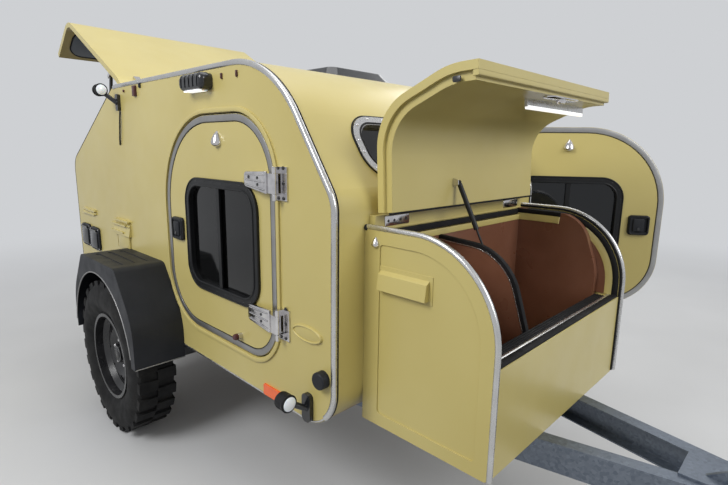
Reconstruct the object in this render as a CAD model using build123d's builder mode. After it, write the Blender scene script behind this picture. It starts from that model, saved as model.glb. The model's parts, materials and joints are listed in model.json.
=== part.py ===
from build123d import *
import os
from math import cos, hypot, pi, radians, sin, sqrt

os.makedirs("parts", exist_ok=True)

# Teardrop trailer, in millimetres. +X points forward to the coupling, +Y to the left, +Z up.
# The origin is the centre of the ball socket. Most sizes are written from the cabin's front
# wall (x = 0) and the bottom edge of its side walls (z = 0), and the planes below add the shift.
BALL_AHEAD = 1350
BALL_BELOW = 45

# Cabin side outline
CABIN_WIDTH = 1300
CABIN_LENGTH = 2500
CABIN_HEIGHT = 1240
WALL = 30
BREAK_HEIGHT = 780
ROOF_FRONT = 315
ROOF_REAR = 1728
REAR_CORNER_HEIGHT = 836
BREAK_RADIUS = 130
ROOF_FRONT_RADIUS = 445
ROOF_REAR_RADIUS = 200
REAR_RADIUS = 110
BOTTOM_FRONT_RADIUS = 147
BOTTOM_REAR_RADIUS = 120
FLOOR_RISE = 18
FLOOR_THICKNESS = 30
ROOF_JOINT = 560
GAP = 5

# Rear hatch
HATCH_HINGE_X = 1700
HATCH_HINGE_RISE = 22
HATCH_THICKNESS = 28
HATCH_PROUD = 6
HATCH_BOTTOM = 530
HATCH_OPEN = 56
REAR_PANEL_TOP = 560
HATCH_WINDOW_WIDTH = 860
HATCH_WINDOW_HEIGHT = 190
HATCH_WINDOW_RADIUS = 80
HATCH_WINDOW_MIDDLE = 690
HATCH_STRUT_SIDE = 595
HATCH_STRUT_EYE_BACK = 144
HATCH_STRUT_EYE_DROP = 53
HATCH_STRUT_FOOT_BACK = 319
HATCH_STRUT_FOOT_DROP = 308
HATCH_HINGE_Y = -515
HATCH_HINGE_WIDTH = 96
HATCH_KNUCKLE = 7
HATCH_LEAF = 62
LEAF = 3

# Galley
BULKHEAD_X = 1700
LOWER_BULKHEAD_X = 1950
PANEL = 15
WORKTOP_TOP = 545
WORKTOP_THICKNESS = 25
SHELF_DROP = 160
SHELF_HEIGHT = 280
SHELF_DEPTH = 210
SHELF_HALF = 540

# Mattress
MATTRESS_HEIGHT = 120
MATTRESS_HALF = 610

# Doors
DOOR_FRONT = 302
DOOR_REAR = 1148
DOOR_BOTTOM = 142
DOOR_TOP = 1057
DOOR_RADII = {"top_front": 247, "top_rear": 390, "bottom_rear": 250, "bottom_front": 173}
DOOR_OPEN = 147
RIM_START = 7
RIM_WIDTH = 17
RIM_PROUD = 6
WINDOW_FRONT = 404
WINDOW_REAR = 957
WINDOW_BOTTOM = 328
WINDOW_TOP = 809
WINDOW_RADIUS = 110
WINDOW_FRAME = 36
WINDOW_FLANGE = 18
WINDOW_PROUD = 8
WINDOW_BAR_X = 687
WINDOW_BAR = 22
GLASS = 5
HINGE_X = 268
HINGE_OUT = 27
HINGE_PIN_RADIUS = 8
HINGE_PLATE = 6
HINGE_PLATE_FRONT = 228
HINGE_CLEAR = 11
HINGE_SHOULDER = 312
HINGE_SHOULDER_OUT = 31
HINGE_STRAP_REAR = 462
HINGE_STRAP_END = 14
HINGE_GAP = 1
# Heights of each hinge: plate low, plate high, strap low, strap high, strap end low, strap end high
HINGES = (
    (265, 378, 288, 355, 296, 331),
    (761, 874, 784, 851, 806, 843),
)
LATCH = (-1041, 570)
LATCH_SIZE = 101
LATCH_PROUD = 14
BULLET = (-673, 966)
BULLET_RADIUS = 27
BULLET_HEIGHT = 60
BULLET_TIP = 3
DOOR_STOP = (-550, 196)
DOOR_STOP_RADIUS = 13
DOOR_STOP_PROUD = 18

# Front window on the slope
FRONT_WINDOW_ALONG = 193
FRONT_WINDOW_HEIGHT = 256
FRONT_WINDOW_WIDTH = 890
FRONT_WINDOW_RADIUS = 105
FRONT_WINDOW_FRAME = 34

# Roof vent
VENT_X = 720
VENT_SIZE = 400
VENT_HEIGHT = 42
VENT_SKIN = 8

# Lamps, sockets and hooded vents on the sides
PORCH_LAMP = (-782, CABIN_HEIGHT - 59)
PORCH_LAMP_SIZE = (185, 62)
PORCH_LAMP_PROUD = 52
# Each arm lamp: base x, base z, base width, base height, head x, head z
ARM_LAMPS = (
    (-1648, CABIN_HEIGHT - 90, 32, 84, -1680, CABIN_HEIGHT - 32),
    (-128, 58, 44, 104, -158, 95),
)
ARM_LAMP_BASE = 16
ARM_LAMP_REACH = 80
ARM_LAMP_ARM_RADIUS = 11
ARM_LAMP_RADIUS = 29
ARM_LAMP_LENGTH = 44
LENS_STEP = 4
TAIL_LAMP = (545, 330)
TAIL_LAMP_SIZE = (120, 66)
TAIL_LAMP_BASE = 10
TAIL_LAMP_PROUD = 18
REFLECTOR = (-342, 28)
REFLECTOR_SIZE = (104, 44)
REFLECTOR_PROUD = 7
SOCKETS = ((-2354, 368), (-2194, 362))
SOCKET_SIZE = (150, 142)
SOCKET_PROUD = 14
KNOB = (-51, 188)
KNOB_SIZE = 30
HOOD_VENT = (-1735, 488)
HOOD_VENT_SIZE = (228, 84)
HOOD_VENT_PROUD = 16
HOOD_VENT_POCKET = (196, 80)
SIDE_POCKET = 4
LOUVRE = (-2273, 527)
LOUVRE_SIZE = (240, 11)
LOUVRE_STEP = 18

# Fenders
AXLE_X = 1465
AXLE_DROP = 120
FENDER_TOP = 380
FENDER_HALF = 402
FENDER_SHOULDER = 230
FENDER_SHOULDER_DROP = 230
FENDER_BOTTOM = -60
FENDER_OUT = 235
FENDER_SKIN = 6
FENDER_GROOVES = 3
FENDER_GROOVE = (330, 20)
ARCH_RADIUS = 385
ARCH_X = 1490
ARCH_DROP = 72

# Wheels
TYRE_RADIUS = 389
TYRE_WIDTH = 200
TREAD_WIDTH = 168
TREAD_DEPTH = 12
SIDEWALL_RADIUS = 290
SHOULDER = 10
LUGS = 26
LUG_SHARE = 0.58
LUG_PROUD = 3
RIM_RADIUS = 208
BEAD_HALF = 76
FLANGE_HALF = 83
TRACK_HALF = 780
DRUM_RADIUS = 118
DRUM_WIDTH = 45
WHEEL_STUDS = 5
STUD_CIRCLE = 70
RIM_HOLES = 8
RIM_HOLE_CIRCLE = 142
RIM_HOLE_RADIUS = 17
HUB_BORE = 17
SPINDLE_RADIUS = 16.9

# Axle
AXLE_TUBE = 70
AXLE_TUBE_X = 1300
ARM_WIDTH = 38
ARM_RADIUS = 34
HUB_STUB_RADIUS = 28

# Drawbar
BEAM_HEIGHT = 100
BEAM_FLANGE = 50
BEAM_WALL = 5
BEAM_SLOPE = 0.217
BEAM_OUTER_Y = 202
BEAM_OUTER_X = 492
BEAM_FRONT = 985
BEAM_REAR = -1290
RAIL_HALF = 500
RAIL_REAR = -2380
RAIL_LAP = 260
CROSS_HEIGHT = 60
CROSS_WIDTH = 40
CROSS_DROP = 12
CROSS_MEMBERS = (330, -500, -1230, -2370)

# Coupling
COUPLING_REAR = 860
COUPLING_FRONT = 1120
COUPLING_HALF = 44
COUPLING_PLATE_HALF = 84
COUPLING_PLATE = 8
HOUSING_HEIGHT = 76
TUBE_RADIUS = 26
SOCKET_RADIUS = 25.2
SOCKET_SKIRT = 14
HEAD_RADIUS = 38
HEAD_LENGTH = 90

# Jockey wheel
JOCKEY_X = 1050
JOCKEY_Y = 96
JOCKEY_TUBE_RADIUS = 24
JOCKEY_LEG_RADIUS = 20
JOCKEY_RADIUS = 100
JOCKEY_WIDTH = 54
JOCKEY_TRAIL = 38
JOCKEY_TUBE_TOP = 330
JOCKEY_TUBE_BOTTOM = -210

# Nose box
BOX_HALF = 518
BOX_DEPTH = 488
BOX_BOTTOM = 18
BOX_TOP = 686
BOX_ARC = 286
BOX_WALL = 20
BOX_FRONT_TOP = 348
SILL_DEPTH = 76
RAIL_HEIGHT = 75
BOX_PANEL = (67, 45)
BOX_PANEL_DEPTH = 4
BOX_VENT = (168, 530)
BOX_VENT_SIZE = (190, 63)
BOX_VENT_PROUD = 24
BOX_VENT_PLATE = 2
BOX_VENT_EDGE = 12
BOX_STUD = (49, 646)
BOX_STUD_RADIUS = 15
BOX_STUD_HEIGHT = 33
LID_HINGE = (34, 730)
LID_RISE = 5
LID_HALF = BOX_HALF - 30
LID_OPEN = 94
LID_DEPTH = 50
LID_SKIN = 25
LID_PLUG_HALF = LID_HALF - 12
LID_FOOT = 18
LID_PLUG_FOOT = 14
LID_BEND_BACK = 130
LID_BEND_IN = 0.70
LID_BEND_RADIUS = 170
LID_SHOULDER_BACK = 36
LID_SHOULDER_DROP = 270
LID_SHOULDER_IN = 0.17
LID_FRONT_BACK = 39
LID_FRONT_RADIUS = 250
SEAL_RADIUS = 190
LID_HINGE_Y = -382
LID_HINGE_WIDTH = 112
LID_KNUCKLE = 5
LID_LEAF = 30
LINER = 32
LINER_PANEL = 8
DIVIDER_Y = -155
DIVIDER_THICKNESS = 12
# Corners of the divider's edge from the back to the front, with radii between
DIVIDER_EDGE = ((624, 0), (320, 606), (401, 355), (407, 325))
DIVIDER_RADII = (200, 60)
LID_STRUT_Y = -125
LID_STRUT_FOOT = (248, 516)
LID_STRUT_EYE = (122, 668)

# Gas struts
STRUT_RADIUS = 9
STRUT_BORE = 4.4
ROD_RADIUS = 4
EYE_RADIUS = 8
EYE_THICKNESS = 8
EYE_BORE = 4.3
PIN_RADIUS = 3.9
PIN_PLATE = 5
PIN_CLEAR = 3
BRACKET_HALF = 16
PIN_PLATE_RADIUS = 14

GROUND = -(AXLE_DROP + TYRE_RADIUS)


def side(y):
    """Upright plane seen from the right side: x forward, z up, from the cabin's front bottom corner."""
    return Plane(origin=(-BALL_AHEAD, y, BALL_BELOW), x_dir=(1, 0, 0), z_dir=(0, -1, 0))


def level(z):
    """Flat plane at a height above the cabin's bottom edge."""
    return Plane(origin=(-BALL_AHEAD, 0, BALL_BELOW + z), x_dir=(1, 0, 0), z_dir=(0, 0, 1))


def cross(x):
    """Upright plane seen from behind: y to the left, z up, at a distance ahead of the cabin's front wall."""
    return Plane(origin=(-BALL_AHEAD + x, 0, BALL_BELOW), x_dir=(0, 1, 0), z_dir=(1, 0, 0))


def outline(corners, mode=Mode.ADD):
    """A face with straight sides, from corners of x, y and radius."""
    points = [(x, y) for x, y, radius in corners]
    radii = [radius for x, y, radius in corners]
    with BuildLine() as edge:
        FilletPolyline(*points, radius=radii, close=True)
    make_face(edge.edges(), mode=mode)


def save(piece, name):
    piece.part.label = name
    export_step(piece.part, f"parts/{name}.step")


def mirrored(piece):
    """The same piece on the other side of the trailer."""
    with BuildPart() as other:
        mirror(piece.part, about=Plane.XZ)
    return other


def turned(piece, axis, angle):
    """The same piece turned about a hinge."""
    with BuildPart() as other:
        add(piece.part.rotate(axis, angle))
    return other


def along(start, direction, distance):
    """A plane square to a direction, a distance along it from a point of the side view's frame."""
    origin = [place + distance * part for place, part in zip(start, direction)]
    return Plane(
        origin=(origin[0] - BALL_AHEAD, origin[1], origin[2] + BALL_BELOW),
        x_dir=(0, 0, 1) if abs(direction[2]) < 0.9 else (1, 0, 0),
        z_dir=direction,
    )


def half_bell(place, face, radius, height):
    """A stud shaped like half a bell, its flat side on an upright face, pointed at the top."""
    x, z = place
    with BuildSketch(side(face)) as profile:
        with BuildLine() as edge:
            Line((x, z - height / 2), (x, z + height / 2))
            Line((x, z + height / 2), (x + BULLET_TIP, z + height / 2))
            ThreePointArc(
                (x + BULLET_TIP, z + height / 2),
                (x + 0.72 * radius, z + 0.12 * height),
                (x + radius, z - 0.25 * height),
            )
            ThreePointArc(
                (x + radius, z - 0.25 * height),
                (x + 0.76 * radius, z - 0.42 * height),
                (x + BULLET_TIP, z - height / 2),
            )
            Line((x + BULLET_TIP, z - height / 2), (x, z - height / 2))
        make_face(edge.edges())
    revolve(profile.sketch, axis=Axis((x - BALL_AHEAD, face, 0), (0, 0, -1)), revolution_arc=180)


CABIN_CORNERS = (
    (0, 0, BOTTOM_FRONT_RADIUS),
    (0, BREAK_HEIGHT, BREAK_RADIUS),
    (-ROOF_FRONT, CABIN_HEIGHT, ROOF_FRONT_RADIUS),
    (-ROOF_REAR, CABIN_HEIGHT, ROOF_REAR_RADIUS),
    (-CABIN_LENGTH, REAR_CORNER_HEIGHT, REAR_RADIUS),
    (-CABIN_LENGTH, 0, BOTTOM_REAR_RADIUS),
)
HALF = CABIN_WIDTH / 2
INNER_HALF = HALF - WALL
REAR_SLOPE = (CABIN_HEIGHT - REAR_CORNER_HEIGHT) / (CABIN_LENGTH - ROOF_REAR)


def below_rear_slope(back, drop):
    """A point of the side view behind the hatch's hinge and below the straight rear slope."""
    x = -HATCH_HINGE_X - back
    return (x, CABIN_HEIGHT - (-ROOF_REAR - x) * REAR_SLOPE - drop)


FLOOR_TOP = FLOOR_RISE + FLOOR_THICKNESS


def door_corners(grow):
    return (
        (-DOOR_FRONT + grow, DOOR_BOTTOM - grow, DOOR_RADII["bottom_front"] + grow),
        (-DOOR_FRONT + grow, DOOR_TOP + grow, DOOR_RADII["top_front"] + grow),
        (-DOOR_REAR - grow, DOOR_TOP + grow, DOOR_RADII["top_rear"] + grow),
        (-DOOR_REAR - grow, DOOR_BOTTOM - grow, DOOR_RADII["bottom_rear"] + grow),
    )


def window_corners(grow):
    return (
        (-WINDOW_FRONT + grow, WINDOW_BOTTOM - grow, WINDOW_RADIUS + grow),
        (-WINDOW_FRONT + grow, WINDOW_TOP + grow, WINDOW_RADIUS + grow),
        (-WINDOW_REAR - grow, WINDOW_TOP + grow, WINDOW_RADIUS + grow),
        (-WINDOW_REAR - grow, WINDOW_BOTTOM - grow, WINDOW_RADIUS + grow),
    )


# Side walls, with the door opening and the raised rim round it
with BuildPart() as side_wall_right:
    with BuildSketch(side(-INNER_HALF)):
        outline(CABIN_CORNERS)
        outline(door_corners(GAP), mode=Mode.SUBTRACT)
    extrude(amount=WALL)
    with BuildSketch(side(-HALF)):
        outline(door_corners(RIM_START + RIM_WIDTH))
        outline(door_corners(RIM_START), mode=Mode.SUBTRACT)
    extrude(amount=RIM_PROUD)
save(mirrored(side_wall_right), "side_wall_left")

# The right wall also has a hooded vent over a shallow pocket, and a louvre
with side_wall_right:
    with BuildSketch(side(-HALF)):
        with Locations((HOOD_VENT[0], HOOD_VENT[1] - HOOD_VENT_SIZE[1] / 2 - HOOD_VENT_POCKET[1] / 2)):
            Rectangle(*HOOD_VENT_POCKET)
    extrude(amount=-SIDE_POCKET, mode=Mode.SUBTRACT)
    with BuildSketch(along((HOOD_VENT[0] - HOOD_VENT_SIZE[0] / 2, -HALF, HOOD_VENT[1]), (1, 0, 0), 0)):
        half = HOOD_VENT_SIZE[1] / 2
        with BuildLine() as edge:
            Polyline(
                (half, 0),
                (half - LOUVRE_SIZE[1], HOOD_VENT_PROUD / 2),
                (half - LOUVRE_STEP, HOOD_VENT_PROUD / 4),
                (half - LOUVRE_STEP - LOUVRE_SIZE[1], 0.75 * HOOD_VENT_PROUD),
                (half - 2 * LOUVRE_STEP, HOOD_VENT_PROUD / 2),
                (-half, HOOD_VENT_PROUD),
                (-half, 0),
                close=True,
            )
        make_face(edge.edges())
    extrude(amount=HOOD_VENT_SIZE[0])
    with BuildSketch(side(-HALF)):
        with Locations((LOUVRE[0], LOUVRE[1] - LOUVRE_STEP / 2), (LOUVRE[0], LOUVRE[1] + LOUVRE_STEP / 2)):
            Rectangle(*LOUVRE_SIZE)
    extrude(amount=HOOD_VENT_PROUD / 2)
save(side_wall_right, "side_wall_right")

# Slope frame: a plane on the front slope, its origin at the break, x to the left and y up the slope
SLOPE_LENGTH = hypot(ROOF_FRONT, CABIN_HEIGHT - BREAK_HEIGHT)
SLOPE_UP = (-ROOF_FRONT / SLOPE_LENGTH, 0, (CABIN_HEIGHT - BREAK_HEIGHT) / SLOPE_LENGTH)
SLOPE_OUT = (SLOPE_UP[2], 0, -SLOPE_UP[0])


def slope(out):
    origin = (
        -BALL_AHEAD + FRONT_WINDOW_ALONG * SLOPE_UP[0] + out * SLOPE_OUT[0],
        0,
        BALL_BELOW + BREAK_HEIGHT + FRONT_WINDOW_ALONG * SLOPE_UP[2] + out * SLOPE_OUT[2],
    )
    return Plane(origin=origin, x_dir=(0, 1, 0), z_dir=SLOPE_OUT)


def front_window(grow, mode=Mode.ADD):
    RectangleRounded(
        FRONT_WINDOW_WIDTH + 2 * grow,
        FRONT_WINDOW_HEIGHT + 2 * grow,
        FRONT_WINDOW_RADIUS + grow,
        mode=mode,
    )


def cabin_face(grow):
    """The cabin's side outline as a face, grown or shrunk all round."""
    with BuildSketch() as plain:
        outline(CABIN_CORNERS)
    if not grow:
        return plain.sketch
    with BuildSketch() as grown:
        offset(plain.sketch, amount=grow)
    return grown.sketch


CABIN_OUTSIDE = cabin_face(0)
CABIN_INSIDE = cabin_face(-WALL)
MATTRESS_SPACE = cabin_face(-WALL - GAP)
HATCH_OUTSIDE = cabin_face(HATCH_PROUD)
HATCH_INSIDE = cabin_face(HATCH_PROUD - HATCH_THICKNESS)


def shell_between(x_rear, x_front, z_low, z_high):
    """A stretch of the cabin's outer shell between the side walls."""
    with BuildSketch(side(-INNER_HALF)) as stretch:
        outline(CABIN_CORNERS)
        add(CABIN_INSIDE, mode=Mode.SUBTRACT)
        with Locations(((x_rear + x_front) / 2, (z_low + z_high) / 2)):
            Rectangle(x_front - x_rear, z_high - z_low, mode=Mode.INTERSECT)
    extrude(stretch.sketch, amount=-2 * INNER_HALF)


with BuildPart() as front_panel:
    shell_between(-ROOF_JOINT, 10, FLOOR_TOP, CABIN_HEIGHT + 10)
    with BuildSketch(slope(GAP)):
        front_window(-WINDOW_FLANGE)
    extrude(amount=-WALL - 2 * GAP, mode=Mode.SUBTRACT)
save(front_panel, "front_panel")

with BuildPart() as roof_panel:
    shell_between(-HATCH_HINGE_X + 10, -ROOF_JOINT, CABIN_HEIGHT - WALL, CABIN_HEIGHT + 10)
    with BuildSketch(level(CABIN_HEIGHT + GAP)):
        with Locations((-VENT_X, 0)):
            RectangleRounded(VENT_SIZE - 60, VENT_SIZE - 60, 30)
    extrude(amount=-WALL - 2 * GAP, mode=Mode.SUBTRACT)
save(roof_panel, "roof_panel")

with BuildPart() as rear_panel:
    shell_between(-CABIN_LENGTH - 10, -CABIN_LENGTH + 400, FLOOR_TOP, REAR_PANEL_TOP)
    with BuildSketch(cross(-CABIN_LENGTH - 10)):
        with Locations((0, (HATCH_BOTTOM + REAR_PANEL_TOP) / 2)):
            Rectangle(2 * INNER_HALF, REAR_PANEL_TOP - HATCH_BOTTOM + 2 * GAP)
    extrude(amount=10 + HATCH_THICKNESS - HATCH_PROUD + GAP, mode=Mode.SUBTRACT)
save(rear_panel, "rear_panel")

with BuildPart() as floor_panel:
    with BuildSketch(side(-INNER_HALF)):
        outline(CABIN_CORNERS)
        with Locations((-CABIN_LENGTH / 2, FLOOR_RISE + FLOOR_THICKNESS / 2)):
            Rectangle(CABIN_LENGTH + 20, FLOOR_THICKNESS, mode=Mode.INTERSECT)
    extrude(amount=-2 * INNER_HALF)
save(floor_panel, "floor_panel")

# Galley: the bulkheads, the worktop and the open shelves
with BuildPart() as galley_bulkhead:
    with BuildSketch(side(-INNER_HALF)):
        with Locations((-LOWER_BULKHEAD_X, (FLOOR_TOP + WORKTOP_TOP - WORKTOP_THICKNESS) / 2)):
            Rectangle(PANEL, WORKTOP_TOP - WORKTOP_THICKNESS - FLOOR_TOP)
    extrude(amount=-2 * INNER_HALF)
    with BuildSketch(side(-INNER_HALF)):
        with Locations((-BULKHEAD_X + PANEL, (WORKTOP_TOP + CABIN_HEIGHT - WALL) / 2)):
            Rectangle(PANEL, CABIN_HEIGHT - WALL - WORKTOP_TOP)
    extrude(amount=-2 * INNER_HALF)
save(galley_bulkhead, "galley_bulkheads")

with BuildPart() as galley_worktop:
    with BuildSketch(level(WORKTOP_TOP)):
        with Locations((-(BULKHEAD_X - 1.5 * PANEL), 0)):
            Rectangle(
                CABIN_LENGTH - WALL - BULKHEAD_X + 1.5 * PANEL - 10,
                2 * INNER_HALF,
                align=(Align.MAX, Align.CENTER),
            )
    extrude(amount=-WORKTOP_THICKNESS)
save(galley_worktop, "galley_worktop")

with BuildPart() as galley_shelves:
    with BuildSketch(cross(-BULKHEAD_X + PANEL / 2)):
        with Locations((0, CABIN_HEIGHT - SHELF_DROP - SHELF_HEIGHT / 2)):
            Rectangle(2 * SHELF_HALF, SHELF_HEIGHT)
            with GridLocations((2 * SHELF_HALF - PANEL) / 3, 1, 3, 1):
                Rectangle(
                    (2 * SHELF_HALF - 4 * PANEL) / 3, SHELF_HEIGHT - 2 * PANEL, mode=Mode.SUBTRACT
                )
    extrude(amount=-SHELF_DEPTH)
save(galley_shelves, "galley_shelves")

with BuildPart() as mattress:
    with BuildSketch(level(FLOOR_TOP)):
        with Locations((-WALL - GAP, 0)):
            Rectangle(
                LOWER_BULKHEAD_X - WALL - 3 * GAP - PANEL, 2 * MATTRESS_HALF, align=(Align.MAX, Align.CENTER)
            )
    extrude(amount=MATTRESS_HEIGHT)
    fillet(mattress.edges().filter_by(Axis.Z), 60)
    fillet(mattress.faces().sort_by(Axis.Z)[-1].edges(), 25)
    with BuildSketch(side(-INNER_HALF)):
        add(MATTRESS_SPACE)
    extrude(amount=-2 * INNER_HALF, mode=Mode.INTERSECT)
save(mattress, "mattress")

# Front window: a frame that clamps the panel, and its glass
with BuildPart() as front_window_frame:
    with BuildSketch(slope(0)):
        front_window(0)
        front_window(-FRONT_WINDOW_FRAME, mode=Mode.SUBTRACT)
    extrude(amount=WINDOW_PROUD)
    with BuildSketch(slope(0)):
        front_window(-WINDOW_FLANGE - 0.3)
        front_window(-FRONT_WINDOW_FRAME, mode=Mode.SUBTRACT)
    extrude(amount=-WALL)
save(front_window_frame, "front_window_frame")

with BuildPart() as front_window_glass:
    with BuildSketch(slope(-WALL / 2)):
        front_window(-FRONT_WINDOW_FRAME)
    extrude(amount=GLASS)
save(front_window_glass, "front_window_glass")

# Roof vent: a low dome over a square hole
with BuildPart() as roof_vent:
    with BuildSketch(level(CABIN_HEIGHT)):
        with Locations((-VENT_X, 0)):
            RectangleRounded(VENT_SIZE, VENT_SIZE, 50)
    with BuildSketch(level(CABIN_HEIGHT + VENT_HEIGHT)):
        with Locations((-VENT_X, 0)):
            RectangleRounded(VENT_SIZE - 70, VENT_SIZE - 70, 40)
    loft()
    fillet(roof_vent.faces().sort_by(Axis.Z)[-1].edges(), VENT_HEIGHT / 3)
    with BuildSketch(level(CABIN_HEIGHT)):
        with Locations((-VENT_X, 0)):
            RectangleRounded(VENT_SIZE - 90, VENT_SIZE - 90, 30)
    extrude(amount=VENT_HEIGHT - VENT_SKIN, mode=Mode.SUBTRACT)
save(roof_vent, "roof_vent")

# Doors
HINGE_AXIS_LEFT = Axis((-BALL_AHEAD - HINGE_X, HALF + HINGE_OUT, 0), (0, 0, 1))


def save_door_piece(piece, name):
    """The right door is shut and the left one stands open."""
    save(piece, name + "_right")
    save(turned(mirrored(piece), HINGE_AXIS_LEFT, -DOOR_OPEN), name + "_left")


with BuildPart() as door:
    with BuildSketch(side(-INNER_HALF)):
        outline(door_corners(0))
        outline(window_corners(-WINDOW_FLANGE), mode=Mode.SUBTRACT)
    extrude(amount=WALL)
save_door_piece(door, "door")

with BuildPart() as window_frame:
    with BuildSketch(side(-HALF)):
        outline(window_corners(0))
        outline(window_corners(-WINDOW_FRAME), mode=Mode.SUBTRACT)
    extrude(amount=WINDOW_PROUD)
    with BuildSketch(side(-INNER_HALF)):
        outline(window_corners(-WINDOW_FLANGE - 0.3))
        outline(window_corners(-WINDOW_FRAME), mode=Mode.SUBTRACT)
    extrude(amount=WALL)
    with BuildSketch(side(-HALF + 4)):
        outline(window_corners(-WINDOW_FRAME))
        with Locations((-WINDOW_BAR_X, (WINDOW_BOTTOM + WINDOW_TOP) / 2)):
            Rectangle(WINDOW_BAR, WINDOW_TOP - WINDOW_BOTTOM, mode=Mode.INTERSECT)
    extrude(amount=8)
save_door_piece(window_frame, "window_frame")

with BuildPart() as window_glass:
    with BuildSketch(side(-HALF + WALL / 2)):
        outline(window_corners(-WINDOW_FRAME))
    extrude(amount=GLASS)
save_door_piece(window_glass, "window_glass")

with BuildPart() as door_latch:
    with BuildSketch(side(-HALF)):
        with Locations(LATCH):
            RectangleRounded(LATCH_SIZE, LATCH_SIZE, 16)
    extrude(amount=LATCH_PROUD)
    fillet(door_latch.faces().sort_by(Axis.Y)[0].edges(), 5)
    with BuildSketch(side(-HALF - LATCH_PROUD)):
        with Locations((LATCH[0] - 10, LATCH[1])):
            RectangleRounded(LATCH_SIZE - 40, LATCH_SIZE - 28, 8)
    extrude(amount=-8, mode=Mode.SUBTRACT)
    with BuildSketch(side(-HALF - LATCH_PROUD + 8)):
        with Locations((LATCH[0] - 4, LATCH[1])):
            RectangleRounded(LATCH_SIZE - 62, LATCH_SIZE - 36, 6)
    extrude(amount=9)
save_door_piece(door_latch, "door_latch")

# Door hinges: a plate on the wall with a knuckle at each end, and a tapered strap on the door that
# steps out over the raised rim to the knuckle between them
HINGE_PIN = (-HINGE_X, -HALF - HINGE_OUT)
with BuildPart() as wall_hinges:
    for low, high, strap_low, strap_high, end_low, end_high in HINGES:
        with BuildSketch(side(-HALF)):
            with Locations((-HINGE_PLATE_FRONT, (low + high) / 2)):
                Rectangle(
                    DOOR_FRONT - HINGE_PLATE_FRONT - RIM_START - RIM_WIDTH,
                    high - low,
                    align=(Align.MAX, Align.CENTER),
                )
        extrude(amount=HINGE_PLATE)
        for start, end in ((low, strap_low - HINGE_GAP), (strap_high + HINGE_GAP, high)):
            with BuildSketch(level(start)):
                with Locations(HINGE_PIN):
                    Circle(HINGE_PIN_RADIUS)
                    Rectangle(
                        2 * HINGE_PIN_RADIUS, HINGE_OUT - HINGE_PLATE, align=(Align.CENTER, Align.MIN)
                    )
            extrude(amount=end - start)
with BuildPart() as wall_hinges_both:
    add(wall_hinges.part)
    mirror(wall_hinges.part, about=Plane.XZ)
save(wall_hinges_both, "door_hinge_plates")


def door_strap(strap_low, strap_high, end_low, end_high):
    """One strap: its plan from the pin to its end, cut to the tapered side view."""
    with BuildPart() as strap:
        with BuildSketch(level(strap_low)):
            with BuildLine() as edge:
                Polyline(
                    (-HINGE_X, -HALF - HINGE_CLEAR),
                    (-DOOR_FRONT - GAP, -HALF - HINGE_CLEAR),
                    (-DOOR_FRONT - GAP, -HALF),
                    (-HINGE_STRAP_REAR, -HALF),
                    (-HINGE_STRAP_REAR, -HALF - HINGE_STRAP_END),
                    (-HINGE_SHOULDER, -HALF - HINGE_SHOULDER_OUT),
                    (-HINGE_X, -HALF - HINGE_OUT - HINGE_PIN_RADIUS),
                    close=True,
                )
            make_face(edge.edges())
            with Locations(HINGE_PIN):
                Circle(HINGE_PIN_RADIUS)
        extrude(amount=strap_high - strap_low)
        with BuildSketch(side(-HALF)):
            with BuildLine() as edge:
                Polyline(
                    (-HINGE_X + HINGE_PIN_RADIUS, strap_low),
                    (-HINGE_X + HINGE_PIN_RADIUS, strap_high),
                    (-HINGE_SHOULDER, strap_high),
                    (-HINGE_STRAP_REAR, end_high),
                    (-HINGE_STRAP_REAR, end_low),
                    (-HINGE_SHOULDER, strap_low),
                    close=True,
                )
            make_face(edge.edges())
        extrude(amount=HINGE_OUT + 2 * HINGE_PIN_RADIUS, mode=Mode.INTERSECT)
    return strap.part


with BuildPart() as door_fittings:
    for low, high, strap_low, strap_high, end_low, end_high in HINGES:
        add(door_strap(strap_low, strap_high, end_low, end_high))
    half_bell(BULLET, -HALF, BULLET_RADIUS, BULLET_HEIGHT)
    with BuildSketch(side(-HALF)):
        with Locations(DOOR_STOP):
            Circle(DOOR_STOP_RADIUS)
    extrude(amount=DOOR_STOP_PROUD)
save_door_piece(door_fittings, "door_fittings")

# Lamps: the porch lamp over the door, an arm lamp at each end of the side, and the tail lamps
def arm_lamp_direction(base_x, base_z, head_x, head_z):
    reach = (head_x - base_x, -ARM_LAMP_REACH + ARM_LAMP_BASE, head_z - base_z)
    length = hypot(*reach)
    return tuple(part / length for part in reach), length


with BuildPart() as lamp_housing:
    with BuildSketch(side(-HALF)):
        with Locations(PORCH_LAMP):
            RectangleRounded(*PORCH_LAMP_SIZE, 24)
    extrude(amount=PORCH_LAMP_PROUD)
    fillet(lamp_housing.faces().sort_by(Axis.Y)[0].edges(), 18)
    for base_x, base_z, width, height, head_x, head_z in ARM_LAMPS:
        with BuildSketch(side(-HALF)):
            with Locations((base_x, base_z)):
                RectangleRounded(width, height, 0.4 * width)
        extrude(amount=ARM_LAMP_BASE)
        direction, length = arm_lamp_direction(base_x, base_z, head_x, head_z)
        with BuildSketch(along((base_x, -HALF - ARM_LAMP_BASE, base_z), direction, -GAP)):
            Circle(ARM_LAMP_ARM_RADIUS)
        extrude(amount=length + GAP)
        with BuildSketch(cross(head_x - ARM_LAMP_LENGTH / 2)):
            with Locations((-HALF - ARM_LAMP_REACH, head_z)):
                Circle(ARM_LAMP_RADIUS)
        extrude(amount=ARM_LAMP_LENGTH)
    with BuildSketch(cross(-CABIN_LENGTH)):
        with Locations((-TAIL_LAMP[0], TAIL_LAMP[1])):
            RectangleRounded(TAIL_LAMP_SIZE[0], TAIL_LAMP_SIZE[1], 14)
    extrude(amount=-TAIL_LAMP_BASE)
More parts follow.
